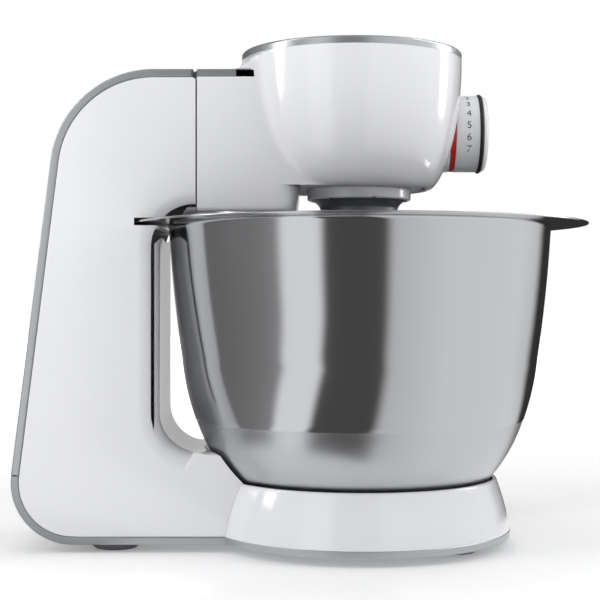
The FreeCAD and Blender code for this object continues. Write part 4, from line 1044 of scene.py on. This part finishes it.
@dataclass
class Bowl:
    """Drawn steel bowl with a step low on its wall and a wide flat rim."""

    axis_x: float = 31.2
    sheet: float = 1.0
    bottom: float = 27.0
    step: float = 70.6
    mouth: float = 108.8
    top: float = 182.0
    flange: float = 130.1

    def wall(self, grow: float) -> Outline:
        """The wall's half section from the axis up to the rim, made larger or smaller."""
        mouth, low = self.mouth + grow, self.bottom - grow
        return (Outline(0, low).line(mouth * 0.585, low).arc(mouth * 0.635, self.bottom + 4.5, 9, -1, 8)
                .arc(mouth * 0.864 - 0.5, self.step, 95, -1, 18).line(mouth * 0.864, self.step + 0.6)
                .arc(mouth * 0.934, self.step + 35.4, 146, -1, 14).arc(mouth, self.top - 8, 757, -1, 16)
                .line(mouth + 0.4, self.top - 3.4))

    def cutter(self, name: str, grow: float) -> bpy.types.Object:
        """The room that the bowl needs, as a solid."""
        outline = self.wall(grow).line(self.mouth + grow + 0.4, self.top).line(0, self.top)
        return spun(name, outline, Vector((self.axis_x * MM, 0, 0)), segments=192)

    def build(self) -> None:
        """Makes the bowl in one sheet with a rounded neck and a safe, rounded rim."""
        outline = self.wall(0)
        neck = self.mouth + 0.4
        outline.arc(neck + 2.4, self.top - 1, 2.4, 1, 6).line(self.flange - 0.5, self.top - 1)
        outline.arc(self.flange - 0.5, self.top, 0.5, -1, 6).line(neck + 1.4, self.top)
        outline.arc(neck - 1, self.top - 3, 3.2, -1, 8)
        inner = self.wall(-self.sheet).points[:-1]
        outline.points += inner[::-1]
        piece = spun("steel_bowl", outline, Vector((self.axis_x * MM, 0, 0)), segments=256)
        dressed(piece, BOWL_STEEL, Body.BOWL, "bowl_steel", "bowl_shell")


@dataclass
class ReleaseButton:
    """Round button in the far cheek, with a finger dish."""

    place: tuple[float, float, float] = (-134.5, 36.0, 78.0)
    radius: float = 8.95
    height: float = 8.5

    def build(self) -> None:
        """Makes the cap."""
        outline = (Outline(0, 0).line(self.radius, 0).line(self.radius, self.height - 1.2)
                   .arc(self.radius - 1.2, self.height, 1.2, -1, 6).line(self.radius - 2.2, self.height)
                   .arc(0, self.height - 1.1, 22, -1, 8))
        piece = spun("release_cap", outline, Vector(self.place) * MM, Vector((0, 1, 0)), segments=72)
        dressed(piece, GREY_PLASTIC, Body.BUTTON, "grey_plastic", "button_cap")


# ---------------------------------------------------------------- carried-over pieces

@dataclass
class InnerWorks:
    """The drive, the hinge and the hidden parts, which keep their measured meshes."""

    finishes: dict[Finish, tuple[str, ...]] = field(default_factory=lambda: {
        WHITE_GLOSS: ("column_shell_left", "column_shell_right", "arm_shell", "knob_boss", "head_deck",
                      "drive_collar", "bowl_dish"),
        WHITE_MATT: ("rim_pocket", "button_bracket", "arm_under_cover"),
        SATIN_SILVER: ("back_band", "head_trim_ring", "arm_deck_trim", "drive_cover", "knob_body"),
        TRAY_SILVER: ("bottom_tray",),
        BOWL_STEEL: ("bowl_shell", "bowl_foot"),
        DARK_HUB: ("carrier_hub",),
        RED_PLASTIC: ("knob_red_ring",),
        GREY_PLASTIC: ("knob_grip_ring", "button_cap"),
        RUBBER_GREY: ("foot_rear_left", "foot_rear_right", "foot_front_left", "foot_front_right"),
        RUBBER_BLACK: ("seal_ring", "drive_belt", "cord_gland"),
        ZINC: ("base_screws", "column_hinge_leaf", "arm_hinge_leaf", "support_frame", "motor_can",
               "upper_shaft_bearing", "lower_shaft_bearing", "bayonet_socket", "knob_spindle"),
        SPRING_STEEL: ("hinge_pin", "button_spring", "main_shaft", "tool_spindle", "motor_shaft"),
        BRONZE: ("lower_motor_bearing", "upper_motor_bearing"),
        CAST_METAL: ("gearbox_frame",),
        ACETAL: ("ring_gear", "planet_pinion", "large_pulley", "small_pulley", "button_plunger"),
        FERRITE: ("motor_magnets",),
        COPPER: ("armature",),
        BLACK_PLASTIC: ("cooling_fan", "blender_coupling", "speed_switch"),
        BOARD: ("control_board", "mains_board"),
    })

    def dress(self) -> None:
        """Gives every measured mesh its finish, in each of its slots."""
        for finish, names in self.finishes.items():
            material = finish.build()
            for name in names:
                node = bpy.data.objects.get(name)
                if node is None:
                    LOG.warning("no mesh named %s", name)
                    continue
                if not node.data.materials:
                    node.data.materials.append(material)
                for number in range(len(node.data.materials)):
                    node.data.materials[number] = material
            LOG.info("dressed %d measured meshes in %s", len(names), finish.name)


# ---------------------------------------------------------------- studio

@dataclass
class SoftBox:
    """A rectangular soft lamp aimed at a point."""

    name: str
    place: tuple[float, float, float]
    target: tuple[float, float, float]
    width: float
    height: float
    power: float

    def build(self) -> None:
        """Adds the lamp."""
        lamp = bpy.data.lights.new(self.name, "AREA")
        lamp.shape = "RECTANGLE"
        lamp.size, lamp.size_y = self.width, self.height
        lamp.energy = self.power
        holder = bpy.data.objects.new(self.name, lamp)
        holder.visible_glossy = holder.visible_camera = False
        holder.location = self.place
        holder.rotation_euler = (Vector(self.target) - Vector(self.place)).to_track_quat("-Z", "Y").to_euler()
        bpy.context.scene.collection.objects.link(holder)


@dataclass
class ReflectionTent:
    """A ring of light and dark card round the mixer that only its gloss can see."""

    radius: float = 0.62
    foot: float = 0.002
    height: float = 1.3
    strip_foot: float = 0.2
    strip_gain: float = 7.0
    bands: tuple[tuple[float, float], ...] = (
        (0, 0.09), (14, 0.09), (19, 0.75), (50, 0.95), (100, 1.0), (118, 0.8), (128, 0.03), (160, 0.03),
        (170, 0.6), (190, 0.6), (200, 0.03), (232, 0.02), (236, 0.16), (270, 0.2), (300, 0.26), (314, 0.34),
        (319, 1.1), (339, 1.1), (343, 0.09), (360, 0.09))
    strips: tuple[tuple[float, float], ...] = ((104, 5), (283, 5))

    def build(self) -> None:
        """Spins the ring and gives it its bands."""
        bm = bmesh.new()
        line = [bm.verts.new((across, 0, level)) for across, level in
                ((0.12, self.foot), (self.radius, self.foot), (self.radius, self.height))]
        edges = [bm.edges.new(pair) for pair in zip(line, line[1:])]
        bmesh.ops.spin(bm, geom=line + edges, cent=(0, 0, 0), axis=(0, 0, 1), angle=FULL_TURN, steps=72,
                       use_merge=True, use_duplicate=False)
        ring = finished("reflection_tent", bm)
        ring.data.materials.append(self.card())
        ring.visible_camera = ring.visible_diffuse = ring.visible_shadow = False
        ring.visible_transmission = ring.visible_volume_scatter = False

    def ramp(self, tree: bpy.types.NodeTree, turn: bpy.types.Node, stops: tuple[tuple[float, float], ...]
             ) -> bpy.types.Node:
        """A grey for each bearing.

        Args:
            tree: the card's node tree.
            turn: node whose first output runs 0 to 1 round the ring.
            stops: bearing in degrees from the front, towards the right, and its grey.

        Returns:
            The ramp node.
        """
        ramp = add_node(tree, "ShaderNodeValToRGB", inputs={"Fac": (turn, 0)})
        marks = ramp.color_ramp.elements
        for bearing, grey in stops[1:-1]:
            marks.new(bearing / 360).color = (grey, grey, grey, 1)
        for mark, (bearing, grey) in ((marks[0], stops[0]), (marks[len(marks) - 1], stops[-1])):
            mark.color = (grey, grey, grey, 1)
        return ramp

    def card(self) -> bpy.types.Material:
        """Card that glows by bearing, with bright strips above the bowl."""
        material = bpy.data.materials.new("reflection_card")
        material.use_nodes = True
        tree = material.node_tree
        tree.nodes.clear()
        source = add_node(tree, "ShaderNodeTexCoord")
        axes = add_node(tree, "ShaderNodeSeparateXYZ", inputs={"Vector": (source, "Object")})
        back = add_node(tree, "ShaderNodeMath", {"operation": "MULTIPLY"}, {0: (axes, "Y"), 1: -1.0})
        angle = add_node(tree, "ShaderNodeMath", {"operation": "ARCTAN2"}, {0: (axes, "X"), 1: (back, 0)})
        wrapped = add_node(tree, "ShaderNodeMath", {"operation": "WRAP"}, {0: (angle, 0), 1: FULL_TURN, 2: 0.0})
        turn = add_node(tree, "ShaderNodeMath", {"operation": "DIVIDE"}, {0: (wrapped, 0), 1: FULL_TURN})
        bands = self.ramp(tree, turn, self.bands)
        lines = []
        for middle, half in self.strips:
            lines += [(middle - half - 1, 0.0), (middle - half, 1.0), (middle + half, 1.0), (middle + half + 1, 0.0)]
        strips = self.ramp(tree, turn, ((0, 0.0), *lines, (360, 0.0)))
        above = add_node(tree, "ShaderNodeMapRange", inputs={
            "Value": (axes, "Z"), "From Min": self.strip_foot, "From Max": self.strip_foot + 0.05,
            "To Min": 0.0, "To Max": self.strip_gain})
        bright = add_node(tree, "ShaderNodeMath", {"operation": "MULTIPLY"}, {0: (strips, 0), 1: (above, "Result")})
        total = add_node(tree, "ShaderNodeMath", {"operation": "ADD"}, {0: (bands, 0), 1: (bright, 0)})
        glow = add_node(tree, "ShaderNodeEmission", inputs={"Strength": (total, 0)})
        add_node(tree, "ShaderNodeOutputMaterial", inputs={"Surface": (glow, 0)})
        return material


@dataclass
class Studio:
    """Pale floor, even room light, soft boxes and the camera."""

    camera_place: tuple[float, float, float] = (-0.0028, -0.795, 0.1385)
    focal_mm: float = 82.6
    sensor_mm: float = 36.0
    lift: float = 0.0
    room_grey: str = "#f4f5f7"
    room_strength: float = 0.42
    floor_half: float = 4.5
    floor_glow: float = 0.22
    paper_radius: float = 6.0
    boxes: tuple[SoftBox, ...] = (
        SoftBox("key_left", (-1.1, -0.6, 0.8), (0.0, 0.0, 0.15), 0.7, 1.2, 7.5),
        SoftBox("key_right", (1.1, -0.35, 0.7), (0.03, 0.0, 0.15), 0.5, 1.2, 4.5),
        SoftBox("overhead", (0.0, 0.1, 1.4), (0.0, 0.0, 0.1), 1.4, 1.0, 7.0),
    )

    def floor(self) -> None:
        """A pale floor."""
        bm = bmesh.new()
        bmesh.ops.create_grid(bm, x_segments=2, y_segments=2, size=self.floor_half)
        floor = finished("floor", bm)
        material = FLOOR.build()
        shader = material.node_tree.nodes["Principled BSDF"]
        shader.inputs["Emission Color"].default_value = linear("#ffffff")
        tree = material.node_tree
        source = add_node(tree, "ShaderNodeTexCoord")
        far = add_node(tree, "ShaderNodeVectorMath", {"operation": "LENGTH"}, {0: (source, "Object")})
        glow = add_node(tree, "ShaderNodeMapRange", inputs={
            "Value": (far, "Value"), "From Min": 0.3, "From Max": 2.0, "To Min": self.floor_glow, "To Max": 1.0})
        tree.links.new(glow.outputs["Result"], shader.inputs["Emission Strength"])
        shader.inputs["Specular IOR Level"].default_value = 0.15
        floor.data.materials.append(material)

    def paper(self) -> None:
        """White paper all round, far away, that only the camera sees."""
        bm = bmesh.new()
        bmesh.ops.create_icosphere(bm, subdivisions=4, radius=self.paper_radius)
        paper = finished("white_paper", bm)
        material = bpy.data.materials.new("white_paper")
        material.use_nodes = True
        tree = material.node_tree
        tree.nodes.clear()
        glow = add_node(tree, "ShaderNodeEmission", inputs={"Color": linear("#ffffff"), "Strength": 1.0})
        add_node(tree, "ShaderNodeOutputMaterial", inputs={"Surface": (glow, 0)})
        paper.data.materials.append(material)
        paper.visible_diffuse = paper.visible_glossy = paper.visible_shadow = False
        paper.visible_transmission = paper.visible_volume_scatter = False

    def room(self) -> None:
        """Even light from all round."""
        world = bpy.data.worlds.new("studio_room")
        world.use_nodes = True
        back = world.node_tree.nodes["Background"]
        back.inputs["Color"].default_value = linear(self.room_grey)
        back.inputs["Strength"].default_value = self.room_strength
        bpy.context.scene.world = world

    def camera(self) -> None:
        """A long lens, level with the middle of the mixer."""
        eye = bpy.data.cameras.new("camera")
        eye.lens = self.focal_mm
        eye.sensor_width = self.sensor_mm
        eye.shift_y = self.lift
        eye.dof.use_dof = False
        holder = bpy.data.objects.new("camera", eye)
        holder.location = self.camera_place
        holder.rotation_euler = (math.pi / 2, 0, 0)
        bpy.context.scene.collection.objects.link(holder)
        bpy.context.scene.camera = holder

    def build(self) -> None:
        """Sets up the whole studio."""
        self.floor()
        self.paper()
        ReflectionTent().build()
        self.room()
        self.camera()
        for box in self.boxes:
            box.build()
        bpy.context.scene.view_settings.view_transform = "Standard"
        LOG.info("studio ready with %d soft boxes", len(self.boxes))


def main() -> None:
    """Builds every piece and the studio."""
    logging.basicConfig(level=logging.INFO, format="%(name)s: %(message)s")
    InnerWorks().dress()
    for assembly in (Stand(), BowlDish(), Bowl(), Arm(), HeadTop(), Drive(), SpeedDial(), ReleaseButton()):
        assembly.build()
    Studio().build()


if __name__ == "__main__":
    main()
